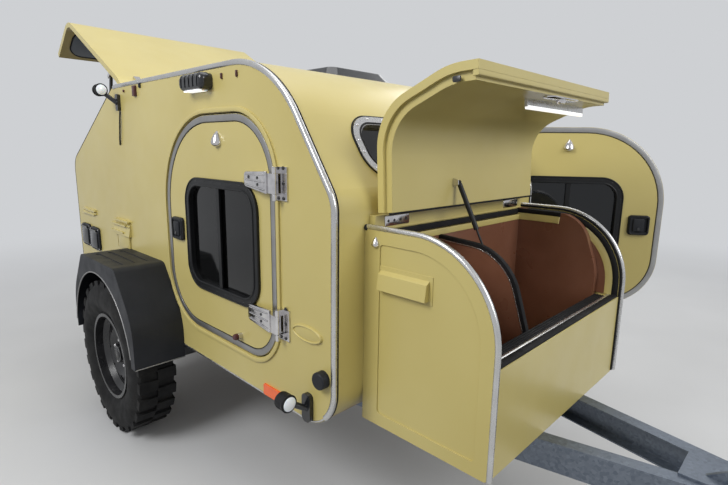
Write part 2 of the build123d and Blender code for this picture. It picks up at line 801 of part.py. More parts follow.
with BuildPart() as lamp_lens:
    with BuildSketch(level(PORCH_LAMP[1] - PORCH_LAMP_SIZE[1] / 2)):
        with Locations((PORCH_LAMP[0], -HALF - PORCH_LAMP_PROUD / 3)):
            Rectangle(0.65 * PORCH_LAMP_SIZE[0], PORCH_LAMP_PROUD / 2)
    extrude(amount=-LENS_STEP)
    for base_x, base_z, width, height, head_x, head_z in ARM_LAMPS:
        with BuildSketch(cross(head_x + ARM_LAMP_LENGTH / 2)):
            with Locations((-HALF - ARM_LAMP_REACH, head_z)):
                Circle(ARM_LAMP_RADIUS - LENS_STEP)
        extrude(amount=LENS_STEP)
with BuildPart() as tail_lamp:
    for base_x, base_z, width, height, head_x, head_z in ARM_LAMPS:
        with BuildSketch(cross(head_x - ARM_LAMP_LENGTH / 2)):
            with Locations((-HALF - ARM_LAMP_REACH, head_z)):
                Circle(ARM_LAMP_RADIUS - LENS_STEP)
        extrude(amount=-LENS_STEP)
    with BuildSketch(cross(-CABIN_LENGTH - TAIL_LAMP_BASE)):
        with Locations((-TAIL_LAMP[0], TAIL_LAMP[1])):
            RectangleRounded(TAIL_LAMP_SIZE[0] - 2 * LENS_STEP, TAIL_LAMP_SIZE[1] - 2 * LENS_STEP, 10)
    extrude(amount=-TAIL_LAMP_PROUD)
with BuildPart() as side_reflector:
    with BuildSketch(side(-HALF)):
        with Locations(REFLECTOR):
            RectangleRounded(*REFLECTOR_SIZE, 6)
    extrude(amount=REFLECTOR_PROUD)
for piece, name in (
    (lamp_housing, "lamp_housings"),
    (lamp_lens, "lamp_lenses"),
    (tail_lamp, "tail_lamps"),
    (side_reflector, "side_reflectors"),
):
    with BuildPart() as both:
        add(piece.part)
        mirror(piece.part, about=Plane.XZ)
    save(both, name)

# Covers of the water filler and the mains inlet, and the round knob near the nose, on the right side
with BuildPart() as side_fittings:
    with BuildSketch(side(-HALF)):
        with Locations(*SOCKETS):
            RectangleRounded(*SOCKET_SIZE, 26)
    extrude(amount=SOCKET_PROUD)
    fillet(side_fittings.faces().filter_by(Axis.Y).group_by(Axis.Y)[0].edges(), 6)
    with BuildSketch(side(-HALF)):
        with Locations(KNOB):
            Circle(KNOB_SIZE)
    extrude(amount=KNOB_SIZE)
    fillet(side_fittings.faces().sort_by(Axis.Y)[0].edges(), 6)
save(side_fittings, "side_fittings")

# Fenders
FENDER_CORNERS = (
    (-FENDER_HALF, FENDER_BOTTOM, 0),
    (-FENDER_HALF, FENDER_TOP - FENDER_SHOULDER_DROP, 300),
    (-FENDER_SHOULDER, FENDER_TOP, 40),
    (FENDER_SHOULDER, FENDER_TOP, 40),
    (FENDER_HALF, FENDER_TOP - FENDER_SHOULDER_DROP, 300),
    (FENDER_HALF, FENDER_BOTTOM, 0),
)


def fender_outline(shrink, mode=Mode.ADD):
    outline(
        [
            (
                -AXLE_X + x - (shrink if x > 0 else -shrink),
                z - (shrink if z > 0 else 2 * GAP if shrink else 0),
                max(radius - shrink, 0),
            )
            for x, z, radius in FENDER_CORNERS
        ],
        mode=mode,
    )


with BuildPart() as fender:
    with BuildSketch(side(-HALF)):
        fender_outline(0)
        fender_outline(FENDER_SKIN, mode=Mode.SUBTRACT)
    extrude(amount=FENDER_OUT)
    with BuildSketch(side(-HALF - FENDER_OUT + FENDER_SKIN)):
        fender_outline(0)
        with Locations((-ARCH_X, -ARCH_DROP)):
            Circle(ARCH_RADIUS, mode=Mode.SUBTRACT)
        with Locations((-AXLE_X, FENDER_BOTTOM)):
            Rectangle(2 * ARCH_RADIUS - 60, 200, mode=Mode.SUBTRACT)
    extrude(amount=FENDER_SKIN)
    with BuildSketch(level(FENDER_TOP)):
        with Locations((-AXLE_X, -HALF - FENDER_OUT / 2)):
            with GridLocations(1, FENDER_OUT / (FENDER_GROOVES + 1), 1, FENDER_GROOVES):
                RectangleRounded(*FENDER_GROOVE, FENDER_GROOVE[1] / 2 - 1)
    extrude(amount=-FENDER_SKIN / 2, mode=Mode.SUBTRACT)
with BuildPart() as fenders:
    add(fender.part)
    mirror(fender.part, about=Plane.XZ)
save(fenders, "fenders")

# Wheels: a tyre with lugs, and a steel wheel with its brake drum
WHEEL_CENTRE = (-BALL_AHEAD - AXLE_X, -TRACK_HALF, BALL_BELOW - AXLE_DROP)
WHEEL_PLANE = Plane(origin=WHEEL_CENTRE, x_dir=(1, 0, 0), z_dir=(0, -1, 0))
TYRE_BEAD = RIM_RADIUS + 16
BASE_RADIUS = TYRE_RADIUS - TREAD_DEPTH
WHEEL_AXIS = Axis(WHEEL_CENTRE, (0, -1, 0))
SECTION = Plane(origin=WHEEL_CENTRE, x_dir=(0, -1, 0), z_dir=(-1, 0, 0))

with BuildPart() as tyre:
    with BuildSketch(SECTION):
        with BuildLine():
            Line((-BEAD_HALF, RIM_RADIUS), (-BEAD_HALF, TYRE_BEAD))
            ThreePointArc(
                (-BEAD_HALF, TYRE_BEAD),
                (-TYRE_WIDTH / 2, SIDEWALL_RADIUS),
                (-TREAD_WIDTH / 2, BASE_RADIUS - SHOULDER),
            )
            Polyline(
                (-TREAD_WIDTH / 2, BASE_RADIUS - SHOULDER),
                (-TREAD_WIDTH / 2 + SHOULDER, BASE_RADIUS),
                (TREAD_WIDTH / 2 - SHOULDER, BASE_RADIUS),
                (TREAD_WIDTH / 2, BASE_RADIUS - SHOULDER),
            )
            ThreePointArc(
                (TREAD_WIDTH / 2, BASE_RADIUS - SHOULDER),
                (TYRE_WIDTH / 2, SIDEWALL_RADIUS),
                (BEAD_HALF, TYRE_BEAD),
            )
            Polyline((BEAD_HALF, TYRE_BEAD), (BEAD_HALF, RIM_RADIUS), (-BEAD_HALF, RIM_RADIUS))
        make_face()
    revolve(axis=WHEEL_AXIS, revolution_arc=360)
    for start, turn in ((-TREAD_WIDTH / 2 - LUG_PROUD, 0), (0, 180 / LUGS)):
        with BuildSketch(WHEEL_PLANE.offset(start)):
            with PolarLocations(BASE_RADIUS, LUGS, start_angle=turn):
                Rectangle(2 * (TREAD_DEPTH + LUG_PROUD), LUG_SHARE * 2 * pi * BASE_RADIUS / LUGS)
            Circle(TYRE_RADIUS, mode=Mode.INTERSECT)
        extrude(amount=TREAD_WIDTH / 2 + LUG_PROUD)
save(tyre, "tyre_right")
save(mirrored(tyre), "tyre_left")

with BuildPart() as wheel:
    with BuildSketch(SECTION):
        with BuildLine():
            Polyline(
                (-FLANGE_HALF, RIM_RADIUS - 4),
                (-FLANGE_HALF, RIM_RADIUS + 12),
                (-BEAD_HALF, RIM_RADIUS + 12),
                (-BEAD_HALF, RIM_RADIUS),
                (BEAD_HALF, RIM_RADIUS),
                (BEAD_HALF, RIM_RADIUS + 12),
                (FLANGE_HALF, RIM_RADIUS + 12),
                (FLANGE_HALF, RIM_RADIUS - 4),
                (45, RIM_RADIUS - 6),
                (20, RIM_RADIUS - 26),
                (-20, RIM_RADIUS - 26),
                (-60, RIM_RADIUS - 6),
                close=True,
            )
        make_face()
    revolve(axis=WHEEL_AXIS, revolution_arc=360)
    with BuildSketch(SECTION):
        with BuildLine():
            Polyline(
                (10, HUB_BORE),
                (10, 100),
                (34, 128),
                (24, 165),
                (4, RIM_RADIUS - 22),
                (-4, RIM_RADIUS - 22),
                (16, 162),
                (27, 130),
                (2, 96),
                (2, DRUM_RADIUS),
                (-DRUM_WIDTH, DRUM_RADIUS),
                (-DRUM_WIDTH, HUB_BORE),
                close=True,
            )
        make_face()
    revolve(axis=WHEEL_AXIS, revolution_arc=360)
    with BuildSketch(WHEEL_PLANE.offset(-30)):
        with PolarLocations(RIM_HOLE_CIRCLE, RIM_HOLES):
            Circle(RIM_HOLE_RADIUS)
    extrude(amount=100, mode=Mode.SUBTRACT)
    with BuildSketch(WHEEL_PLANE.offset(10)):
        Circle(42)
    extrude(amount=34)
    with BuildSketch(WHEEL_PLANE.offset(-DRUM_WIDTH)):
        Circle(HUB_BORE)
    extrude(amount=70, mode=Mode.SUBTRACT)
    with BuildSketch(WHEEL_PLANE.offset(10)):
        with PolarLocations(STUD_CIRCLE, WHEEL_STUDS, start_angle=18):
            RegularPolygon(11, 6)
    extrude(amount=16)
save(wheel, "wheel_right")
save(mirrored(wheel), "wheel_left")

# Axle: a square tube across, with a trailing arm and spindle at each end
BEAM_TOP = FLOOR_RISE
BEAM_BOTTOM = BEAM_TOP - BEAM_HEIGHT
AXLE_TUBE_Z = BEAM_BOTTOM - AXLE_TUBE / 2
AXLE_TUBE_HALF = BEAM_OUTER_Y + BEAM_SLOPE * (BEAM_OUTER_X - BEAM_REAR)
with BuildPart() as axle_tube:
    with BuildSketch(side(-AXLE_TUBE_HALF)):
        with Locations((-AXLE_TUBE_X, AXLE_TUBE_Z)):
            RectangleRounded(AXLE_TUBE, AXLE_TUBE, 12)
    extrude(amount=-2 * AXLE_TUBE_HALF)
save(axle_tube, "axle_tube")

with BuildPart() as swing_arm:
    with BuildSketch(side(-AXLE_TUBE_HALF)):
        with Locations((-AXLE_TUBE_X, AXLE_TUBE_Z)):
            Circle(ARM_RADIUS)
        with Locations((-AXLE_X, -AXLE_DROP)):
            Circle(ARM_RADIUS)
        with BuildLine():
            Polyline(
                (-AXLE_TUBE_X, AXLE_TUBE_Z + 0.8 * ARM_RADIUS),
                (-AXLE_X, -AXLE_DROP + 0.8 * ARM_RADIUS),
                (-AXLE_X, -AXLE_DROP - 0.8 * ARM_RADIUS),
                (-AXLE_TUBE_X, AXLE_TUBE_Z - 0.8 * ARM_RADIUS),
                close=True,
            )
        make_face()
    extrude(amount=ARM_WIDTH)
    with BuildSketch(side(-AXLE_TUBE_HALF - ARM_WIDTH)):
        with Locations((-AXLE_X, -AXLE_DROP)):
            Circle(HUB_STUB_RADIUS)
    extrude(amount=TRACK_HALF - DRUM_WIDTH - GAP - AXLE_TUBE_HALF - ARM_WIDTH)
    with BuildSketch(side(-AXLE_TUBE_HALF - ARM_WIDTH)):
        with Locations((-AXLE_X, -AXLE_DROP)):
            Circle(SPINDLE_RADIUS)
    extrude(amount=TRACK_HALF + 20 - AXLE_TUBE_HALF - ARM_WIDTH)
with BuildPart() as swing_arms:
    add(swing_arm.part)
    mirror(swing_arm.part, about=Plane.XZ)
save(swing_arms, "swing_arms")

# Drawbar and chassis: two channels that run to the axle, rails behind it, and cross members
def beam_y(x):
    """Outer face of the right drawbar channel."""
    return -(BEAM_OUTER_Y + BEAM_SLOPE * (BEAM_OUTER_X - x))


def web_y(x):
    """Middle of the web that a cross member meets at a place along the frame."""
    outer = beam_y(x) if x > BEAM_REAR else -RAIL_HALF - BEAM_FLANGE / 2
    return outer + BEAM_WALL / 2


def beam_section():
    Rectangle(BEAM_FLANGE, BEAM_HEIGHT, align=(Align.MIN, Align.MAX))
    with Locations((BEAM_WALL, -BEAM_WALL)):
        Rectangle(
            BEAM_FLANGE, BEAM_HEIGHT - 2 * BEAM_WALL, align=(Align.MIN, Align.MAX), mode=Mode.SUBTRACT
        )


BEAM_LENGTH = (BEAM_FRONT - BEAM_REAR) * sqrt(1 + BEAM_SLOPE**2)
BEAM_PLANE = Plane(
    origin=(-BALL_AHEAD + BEAM_REAR, beam_y(BEAM_REAR), BALL_BELOW + BEAM_TOP),
    x_dir=(-BEAM_SLOPE, 1, 0),
    z_dir=(1, BEAM_SLOPE, 0),
)
with BuildPart() as half_frame:
    with BuildSketch(BEAM_PLANE):
        beam_section()
    extrude(amount=BEAM_LENGTH)
    with BuildSketch(cross(RAIL_REAR)):
        with Locations((-RAIL_HALF - BEAM_FLANGE / 2, BEAM_TOP)):
            beam_section()
    extrude(amount=BEAM_REAR - RAIL_REAR + RAIL_LAP)
with BuildPart() as chassis_frame:
    add(half_frame.part)
    mirror(half_frame.part, about=Plane.XZ)
    for x in CROSS_MEMBERS:
        front = x + CROSS_WIDTH
        with BuildSketch(level(BEAM_TOP - CROSS_DROP)):
            with BuildLine():
                Polyline(
                    (x, web_y(x)),
                    (front, web_y(front)),
                    (front, -web_y(front)),
                    (x, -web_y(x)),
                    close=True,
                )
            make_face()
        extrude(amount=-CROSS_HEIGHT)
save(chassis_frame, "chassis_frame")

# Coupling: the overrun housing between the beams, its bellows and the ball head
TUBE_Z = BEAM_TOP - HOUSING_HEIGHT / 2
HEAD_START = BALL_AHEAD - HEAD_LENGTH
with BuildPart() as coupling_housing:
    with BuildSketch(level(BEAM_TOP)):
        with Locations((COUPLING_REAR, 0)):
            Rectangle(COUPLING_FRONT - COUPLING_REAR, 2 * COUPLING_HALF, align=(Align.MIN, Align.CENTER))
    extrude(amount=-HOUSING_HEIGHT)
    with BuildSketch(level(BEAM_TOP)):
        with Locations((COUPLING_REAR, 0)):
            Rectangle(
                BEAM_FRONT - COUPLING_REAR,
                2 * COUPLING_PLATE_HALF,
                align=(Align.MIN, Align.CENTER),
            )
    extrude(amount=COUPLING_PLATE)
    with BuildSketch(cross(COUPLING_FRONT)):
        with Locations((0, TUBE_Z)):
            Circle(TUBE_RADIUS + 8)
    extrude(amount=20)
save(coupling_housing, "coupling_housing")

with BuildPart() as coupling_tube:
    with BuildSketch(cross(COUPLING_FRONT + 20)):
        with Locations((0, TUBE_Z)):
            Circle(TUBE_RADIUS + 4)
    extrude(amount=HEAD_START - COUPLING_FRONT - 20)
save(coupling_tube, "coupling_bellows")

with BuildPart() as coupling_head:
    with BuildSketch(cross(HEAD_START)):
        with Locations((0, TUBE_Z)):
            Circle(TUBE_RADIUS)
    extrude(amount=HEAD_LENGTH)
    with BuildSketch(level(-BALL_BELOW)):
        with Locations((BALL_AHEAD, 0)):
            Circle(HEAD_RADIUS)
    extrude(amount=HEAD_RADIUS)
    with BuildSketch(level(-BALL_BELOW)):
        with Locations((BALL_AHEAD, 0)):
            Circle(HEAD_RADIUS)
    extrude(amount=-SOCKET_SKIRT)
    with BuildSketch(level(-BALL_BELOW + HEAD_RADIUS - 6)):
        with Locations((HEAD_START, 0)):
            Rectangle(HEAD_LENGTH + 20, 34, align=(Align.MIN, Align.CENTER))
    extrude(amount=22)
    with BuildSketch(level(-BALL_BELOW)):
        with Locations((BALL_AHEAD, 0)):
            Circle(SOCKET_RADIUS)
    extrude(amount=-SOCKET_SKIRT, mode=Mode.SUBTRACT)
    with Locations((0, 0, 0)):
        Sphere(SOCKET_RADIUS, mode=Mode.SUBTRACT)
save(coupling_head, "coupling_head")

with BuildPart() as brake_lever:
    with BuildSketch(side(-30)):
        with BuildLine():
            Polyline(
                (COUPLING_REAR + 60, BEAM_TOP + 8),
                (COUPLING_REAR + 110, BEAM_TOP + 8),
                (COUPLING_REAR + 190, BEAM_TOP + 66),
                (COUPLING_REAR + 400, BEAM_TOP + 104),
                (COUPLING_REAR + 396, BEAM_TOP + 128),
                (COUPLING_REAR + 180, BEAM_TOP + 92),
                close=True,
            )
        make_face()
    extrude(amount=12)
save(brake_lever, "brake_lever")

# Jockey wheel: clamp, tube, swivelling leg and wheel
with BuildPart() as jockey_clamp:
    with BuildSketch(level(-50)):
        with Locations((JOCKEY_X, JOCKEY_Y)):
            Circle(JOCKEY_TUBE_RADIUS + 9)
        with Locations((JOCKEY_X, COUPLING_HALF)):
            Rectangle(46, JOCKEY_Y - COUPLING_HALF, align=(Align.CENTER, Align.MIN))
        with Locations((JOCKEY_X, JOCKEY_Y)):
            Circle(JOCKEY_TUBE_RADIUS, mode=Mode.SUBTRACT)
    extrude(amount=50)
save(jockey_clamp, "jockey_clamp")

with BuildPart() as jockey_tube:
    with BuildSketch(level(JOCKEY_TUBE_BOTTOM)):
        with Locations((JOCKEY_X, JOCKEY_Y)):
            Circle(JOCKEY_TUBE_RADIUS)
            Circle(JOCKEY_LEG_RADIUS + 0.5, mode=Mode.SUBTRACT)
    extrude(amount=JOCKEY_TUBE_TOP - JOCKEY_TUBE_BOTTOM - 20)
    with BuildSketch(level(JOCKEY_TUBE_TOP - 20)):
        with Locations((JOCKEY_X, JOCKEY_Y)):
            Circle(JOCKEY_TUBE_RADIUS + 2)
    extrude(amount=20)
    with BuildSketch(level(JOCKEY_TUBE_TOP)):
        with Locations((JOCKEY_X, JOCKEY_Y)):
            Circle(7)
    extrude(amount=34)
    with BuildSketch(level(JOCKEY_TUBE_TOP + 26)):
        with Locations((JOCKEY_X - 6, JOCKEY_Y)):
            Rectangle(124, 16, align=(Align.MIN, Align.CENTER))
    extrude(amount=8)
    with BuildSketch(level(JOCKEY_TUBE_TOP + 34)):
        with Locations((JOCKEY_X + 106, JOCKEY_Y)):
            Circle(11)
    extrude(amount=80)
save(jockey_tube, "jockey_tube")

JOCKEY_AXLE = GROUND + JOCKEY_RADIUS
with BuildPart() as jockey_leg:
    with BuildSketch(level(JOCKEY_AXLE + JOCKEY_RADIUS + 14)):
        with Locations((JOCKEY_X, JOCKEY_Y)):
            Circle(JOCKEY_LEG_RADIUS)
    extrude(amount=180 - JOCKEY_AXLE - JOCKEY_RADIUS - 14)
    with BuildSketch(side(JOCKEY_Y + JOCKEY_WIDTH / 2 + 12)):
        with BuildLine():
            Polyline(
                (JOCKEY_X - JOCKEY_TRAIL - 16, JOCKEY_AXLE - 16),
                (JOCKEY_X - JOCKEY_TRAIL + 16, JOCKEY_AXLE - 16),
                (JOCKEY_X + 28, JOCKEY_AXLE + JOCKEY_RADIUS + 8),
                (JOCKEY_X + 28, JOCKEY_AXLE + JOCKEY_RADIUS + 16),
                (JOCKEY_X - 34, JOCKEY_AXLE + JOCKEY_RADIUS + 16),
            close=True,
            )
        make_face()
    extrude(amount=JOCKEY_WIDTH + 24)
    with BuildSketch(side(JOCKEY_Y + JOCKEY_WIDTH / 2 + 6)):
        with Locations((JOCKEY_X, JOCKEY_AXLE - 20)):
            Rectangle(200, 2 * JOCKEY_RADIUS + 56, mode=Mode.ADD)
    extrude(amount=JOCKEY_WIDTH + 12, mode=Mode.SUBTRACT)
    with BuildSketch(side(JOCKEY_Y + JOCKEY_WIDTH / 2 + 12)):
        with Locations((JOCKEY_X - JOCKEY_TRAIL, JOCKEY_AXLE)):
            Circle(7.9)
    extrude(amount=JOCKEY_WIDTH + 24)
save(jockey_leg, "jockey_leg")

with BuildPart() as jockey_wheel:
    with BuildSketch(side(JOCKEY_Y + JOCKEY_WIDTH / 2)):
        with Locations((JOCKEY_X - JOCKEY_TRAIL, JOCKEY_AXLE)):
            Circle(JOCKEY_RADIUS)
            Circle(8, mode=Mode.SUBTRACT)
    extrude(amount=JOCKEY_WIDTH)
    fillet(jockey_wheel.edges().filter_by(GeomType.CIRCLE).group_by(SortBy.RADIUS)[-1], 12)
save(jockey_wheel, "jockey_wheel")

# Nose box: outer walls, the liner that carries the seal, the curved divider and the lid
BOX_CORNERS = (
    (0, BOX_BOTTOM, 0),
    (BOX_DEPTH, BOX_BOTTOM, 12),
    (BOX_DEPTH, BOX_TOP, BOX_ARC),
    (0, BOX_TOP, 0),
)
PANEL_BACK, PANEL_IN = BOX_PANEL
BOX_VENT_X, BOX_VENT_Z = BOX_VENT
with BuildPart() as nose_box:
    with BuildSketch(side(-BOX_HALF + BOX_WALL)):
        outline(BOX_CORNERS)
    extrude(amount=BOX_WALL)
    with BuildSketch(side(-BOX_HALF)):
        outline(
            (
                (PANEL_BACK, BOX_BOTTOM + PANEL_IN, 12),
                (BOX_DEPTH - PANEL_IN, BOX_BOTTOM + PANEL_IN, 12),
                (BOX_DEPTH - PANEL_IN, BOX_TOP - PANEL_IN, BOX_ARC - PANEL_IN),
                (PANEL_BACK, BOX_TOP - PANEL_IN, 12),
            )
        )
    extrude(amount=-BOX_PANEL_DEPTH, mode=Mode.SUBTRACT)
    with BuildSketch(side(-BOX_HALF + BOX_PANEL_DEPTH)):
        with Locations(BOX_VENT):
            Rectangle(
                BOX_VENT_SIZE[0] + 2 * BOX_VENT_EDGE, BOX_VENT_SIZE[1] + 2 * BOX_VENT_EDGE
            )
    extrude(amount=BOX_VENT_PLATE)
    vent_start = (BOX_VENT_X - BOX_VENT_SIZE[0] / 2, -BOX_HALF + BOX_PANEL_DEPTH, BOX_VENT_Z)
    with BuildSketch(along(vent_start, (1, 0, 0), 0)):
        half = BOX_VENT_SIZE[1] / 2
        with BuildLine() as edge:
            Polyline(
                (half, 0),
                (half - BOX_VENT_EDGE, 0.7 * BOX_VENT_PROUD),
                (-half, BOX_VENT_PROUD),
                (-half, 0),
                close=True,
            )
        make_face(edge.edges())
    extrude(amount=BOX_VENT_SIZE[0])
    mirror(about=Plane.XZ)
    with BuildSketch(side(-BOX_HALF + BOX_WALL)):
        with Locations((BOX_DEPTH, BOX_BOTTOM)):
            Rectangle(BOX_WALL, BOX_FRONT_TOP - BOX_BOTTOM, align=(Align.MAX, Align.MIN))
        with Locations((0, BOX_BOTTOM)):
            Rectangle(BOX_DEPTH, BOX_WALL, align=(Align.MIN, Align.MIN))
        with Locations((BOX_DEPTH, BOX_FRONT_TOP)):
            Rectangle(SILL_DEPTH, BOX_WALL, align=(Align.MAX, Align.MAX))
        with Locations((0, LID_HINGE[1] - LID_KNUCKLE)):
            Rectangle(LID_HINGE[0] - LID_KNUCKLE - 2, RAIL_HEIGHT, align=(Align.MIN, Align.MAX))
    extrude(amount=-2 * (BOX_HALF - BOX_WALL))
save(nose_box, "nose_box")

SEAL_DROP = LID_DEPTH + GAP
LINING_BACK = LID_HINGE[0] - 2
LINING_LOW = BOX_BOTTOM + BOX_WALL


def lid_line(drop):
    """Corners of the lid's outline, moved in by a depth."""
    return (
        (LINING_BACK, LID_HINGE[1] + LID_RISE - drop),
        (BOX_DEPTH - LID_BEND_BACK - LID_BEND_IN * drop, LID_HINGE[1] - 2 - drop),
        (BOX_DEPTH - LID_SHOULDER_BACK - drop, LID_HINGE[1] - LID_SHOULDER_DROP - LID_SHOULDER_IN * drop),
        (BOX_DEPTH - LID_FRONT_BACK - drop, BOX_FRONT_TOP),
    )


with BuildPart() as nose_box_liner:
    with BuildSketch(side(-LID_HALF - GAP)):
        seal = lid_line(SEAL_DROP)
        with BuildLine():
            FilletPolyline(*seal, radius=[LID_BEND_RADIUS - SEAL_DROP / 2, SEAL_RADIUS])
            Polyline(seal[3], (seal[3][0], LINING_LOW), (LINING_BACK, LINING_LOW), seal[0])
        make_face()
    extrude(amount=-LINER)
    mirror(about=Plane.XZ)
    with BuildSketch(level(LINING_LOW)):
        with Locations((LINING_BACK, 0)):
            Rectangle(LINER_PANEL, 2 * (LID_HALF + GAP - LINER), align=(Align.MIN, Align.CENTER))
    extrude(amount=LID_HINGE[1] - LID_KNUCKLE - RAIL_HEIGHT - LINING_LOW)
save(nose_box_liner, "nose_box_liner")

with BuildPart() as nose_box_divider:
    with BuildSketch(side(DIVIDER_Y + DIVIDER_THICKNESS / 2)):
        divider_back = LINING_BACK + LINER_PANEL
        bend, shoulder, front = DIVIDER_EDGE[1:]
        with BuildLine():
            FilletPolyline(
                (divider_back, DIVIDER_EDGE[0][0]), bend, shoulder, front, radius=DIVIDER_RADII
            )
            Polyline(
                front, (front[0], LINING_LOW), (divider_back, LINING_LOW), (divider_back, DIVIDER_EDGE[0][0])
            )
        make_face()
    extrude(amount=DIVIDER_THICKNESS)
save(nose_box_divider, "nose_box_divider")

LID_AXIS = Axis((-BALL_AHEAD + LID_HINGE[0], 0, BALL_BELOW + LID_HINGE[1]), (0, -1, 0))
LID_BACK = LID_HINGE[0] + LID_RISE


def lid_face(top, bottom, foot):
    """The side view of the lid between two depths below its outer skin, down to a height over the sill."""
    upper = lid_line(top)
    lower = lid_line(bottom)
    low = BOX_FRONT_TOP + foot
    with BuildLine() as edge:
        FilletPolyline(
            (LID_BACK, upper[0][1]),
            upper[1],
            upper[2],
            (upper[3][0], low),
            radius=[LID_BEND_RADIUS - top / 2, LID_FRONT_RADIUS - top / 2],
        )
        Line((upper[3][0], low), (lower[3][0], low))
        FilletPolyline(
            (lower[3][0], low),
            lower[2],
            lower[1],
            (LID_BACK, lower[0][1]),
            radius=[LID_FRONT_RADIUS - bottom / 2, LID_BEND_RADIUS - bottom / 2],
        )
        Line((LID_BACK, lower[0][1]), (LID_BACK, upper[0][1]))
    make_face(edge.edges())


with BuildPart() as closed_lid:
    with BuildSketch(side(-LID_HALF)):
        lid_face(0, LID_SKIN, LID_FOOT)
    extrude(amount=-2 * LID_HALF)
    with BuildSketch(side(-LID_PLUG_HALF)):
        lid_face(0, LID_DEPTH, LID_FOOT + LID_PLUG_FOOT)
    extrude(amount=-2 * LID_PLUG_HALF)
lid = turned(closed_lid, LID_AXIS, LID_OPEN)
save(lid, "nose_box_lid")


# Gas struts: each cylinder turns on its bracket on the lid or the hatch, and its rod slides in it
def span(start, end):
    """The distance between two points of the side view."""
    return hypot(end[0] - start[0], end[1] - start[1])


def strut_plane(start, end, y):
    """A plane square to the strut at one of its eyes."""
    run = (end[0] - start[0], end[1] - start[1])
    length = span(start, end)
    return Plane(
        origin=(-BALL_AHEAD + start[0], y, BALL_BELOW + start[1]),
        x_dir=(0, 1, 0),
        z_dir=(run[0] / length, 0, run[1] / length),
    )


def swung(point, hinge, angle):
    """A point of the side view after the lid or hatch it is on has opened, as seen with x forward."""
    dx = point[0] - hinge[0]
    dz = point[1] - hinge[1]
    c = cos(radians(angle))
    s = sin(radians(angle))
    return (hinge[0] + c * dx - s * dz, hinge[1] + s * dx + c * dz)


def eye_face(place, y, radius):
    """A round face of the side view at an eye, on its left side."""
    with BuildSketch(side(y + EYE_THICKNESS / 2)) as disc:
        with Locations(place):
            Circle(radius)
    return disc.sketch


def strut_cylinder(eye, foot, y, length):
    plane = strut_plane(eye, foot, y)
    with BuildPart() as body:
        with BuildSketch(plane.offset(EYE_RADIUS - 2)):
            Circle(STRUT_RADIUS)
        extrude(amount=length - EYE_RADIUS + 2)
        extrude(eye_face(eye, y, EYE_RADIUS), amount=EYE_THICKNESS)
        with BuildSketch(plane.offset(EYE_RADIUS + 12)):
            Circle(STRUT_BORE)
        extrude(amount=length - EYE_RADIUS - 12, mode=Mode.SUBTRACT)
        extrude(eye_face(eye, y, EYE_BORE), amount=EYE_THICKNESS, mode=Mode.SUBTRACT)
    return body


def strut_rod(eye, foot, y, start):
    plane = strut_plane(eye, foot, y)
    length = span(eye, foot)
    with BuildPart() as body:
        with BuildSketch(plane.offset(start)):
            Circle(ROD_RADIUS)
        extrude(amount=length - start - EYE_RADIUS + 1)
        extrude(eye_face(foot, y, EYE_RADIUS), amount=EYE_THICKNESS)
        extrude(eye_face(foot, y, EYE_BORE), amount=EYE_THICKNESS, mode=Mode.SUBTRACT)
    return body


def strut_pin(place, y, wall):
    """A pin beside an eye, with a round plate on the face it stands on. It stops short of the strut."""
    toward = 1 if y < wall else -1
    reach = abs(wall - y) - STRUT_RADIUS - PIN_CLEAR
    for radius, length in ((PIN_PLATE_RADIUS, PIN_PLATE), (PIN_RADIUS, reach)):
        with BuildSketch(side(wall)) as disc:
            with Locations(place):
                Circle(radius)
        extrude(disc.sketch, amount=toward * length)


LID_EYE_OPEN = swung(LID_STRUT_EYE, LID_HINGE, LID_OPEN)
LID_CLOSED_LENGTH = span(LID_STRUT_EYE, LID_STRUT_FOOT)
LID_OPEN_LENGTH = span(LID_EYE_OPEN, LID_STRUT_FOOT)
LID_CYLINDER = LID_CLOSED_LENGTH - EYE_RADIUS - 6
lid_cylinder = strut_cylinder(LID_EYE_OPEN, LID_STRUT_FOOT, LID_STRUT_Y, LID_CYLINDER)
save(lid_cylinder, "lid_strut_cylinder")
lid_rod = strut_rod(LID_EYE_OPEN, LID_STRUT_FOOT, LID_STRUT_Y, LID_OPEN_LENGTH - LID_CLOSED_LENGTH + 24)
save(lid_rod, "lid_strut_rod")

# Rear hatch: it lies between the side walls and turns on the rear edge of the roof
HATCH_HINGE = (-HATCH_HINGE_X, CABIN_HEIGHT + HATCH_HINGE_RISE)
HATCH_HALF = INNER_HALF - GAP
HATCH_AXIS = Axis((-BALL_AHEAD + HATCH_HINGE[0], 0, BALL_BELOW + HATCH_HINGE[1]), (0, 1, 0))
with BuildPart() as closed_hatch:
    with BuildSketch(side(-HATCH_HALF)):
        add(HATCH_OUTSIDE)
        add(HATCH_INSIDE, mode=Mode.SUBTRACT)
        with Locations((-HATCH_HINGE_X - GAP, HATCH_BOTTOM)):
            Rectangle(
                CABIN_LENGTH - HATCH_HINGE_X + 50,
                CABIN_HEIGHT - HATCH_BOTTOM + 50,
                align=(Align.MAX, Align.MIN),
                mode=Mode.INTERSECT,
            )
    extrude(amount=-2 * HATCH_HALF)
    with BuildSketch(cross(-CABIN_LENGTH - 60)):
        with Locations((0, HATCH_WINDOW_MIDDLE)):
            RectangleRounded(HATCH_WINDOW_WIDTH, HATCH_WINDOW_HEIGHT, HATCH_WINDOW_RADIUS)
    extrude(amount=120, mode=Mode.SUBTRACT)
save(turned(closed_hatch, HATCH_AXIS, HATCH_OPEN), "hatch")

with BuildPart() as closed_hatch_glass:
    with BuildSketch(cross(-CABIN_LENGTH - HATCH_PROUD)):
        with Locations((0, HATCH_WINDOW_MIDDLE)):
            RectangleRounded(HATCH_WINDOW_WIDTH, HATCH_WINDOW_HEIGHT, HATCH_WINDOW_RADIUS)
    extrude(amount=GLASS)
save(turned(closed_hatch_glass, HATCH_AXIS, HATCH_OPEN), "hatch_glass")

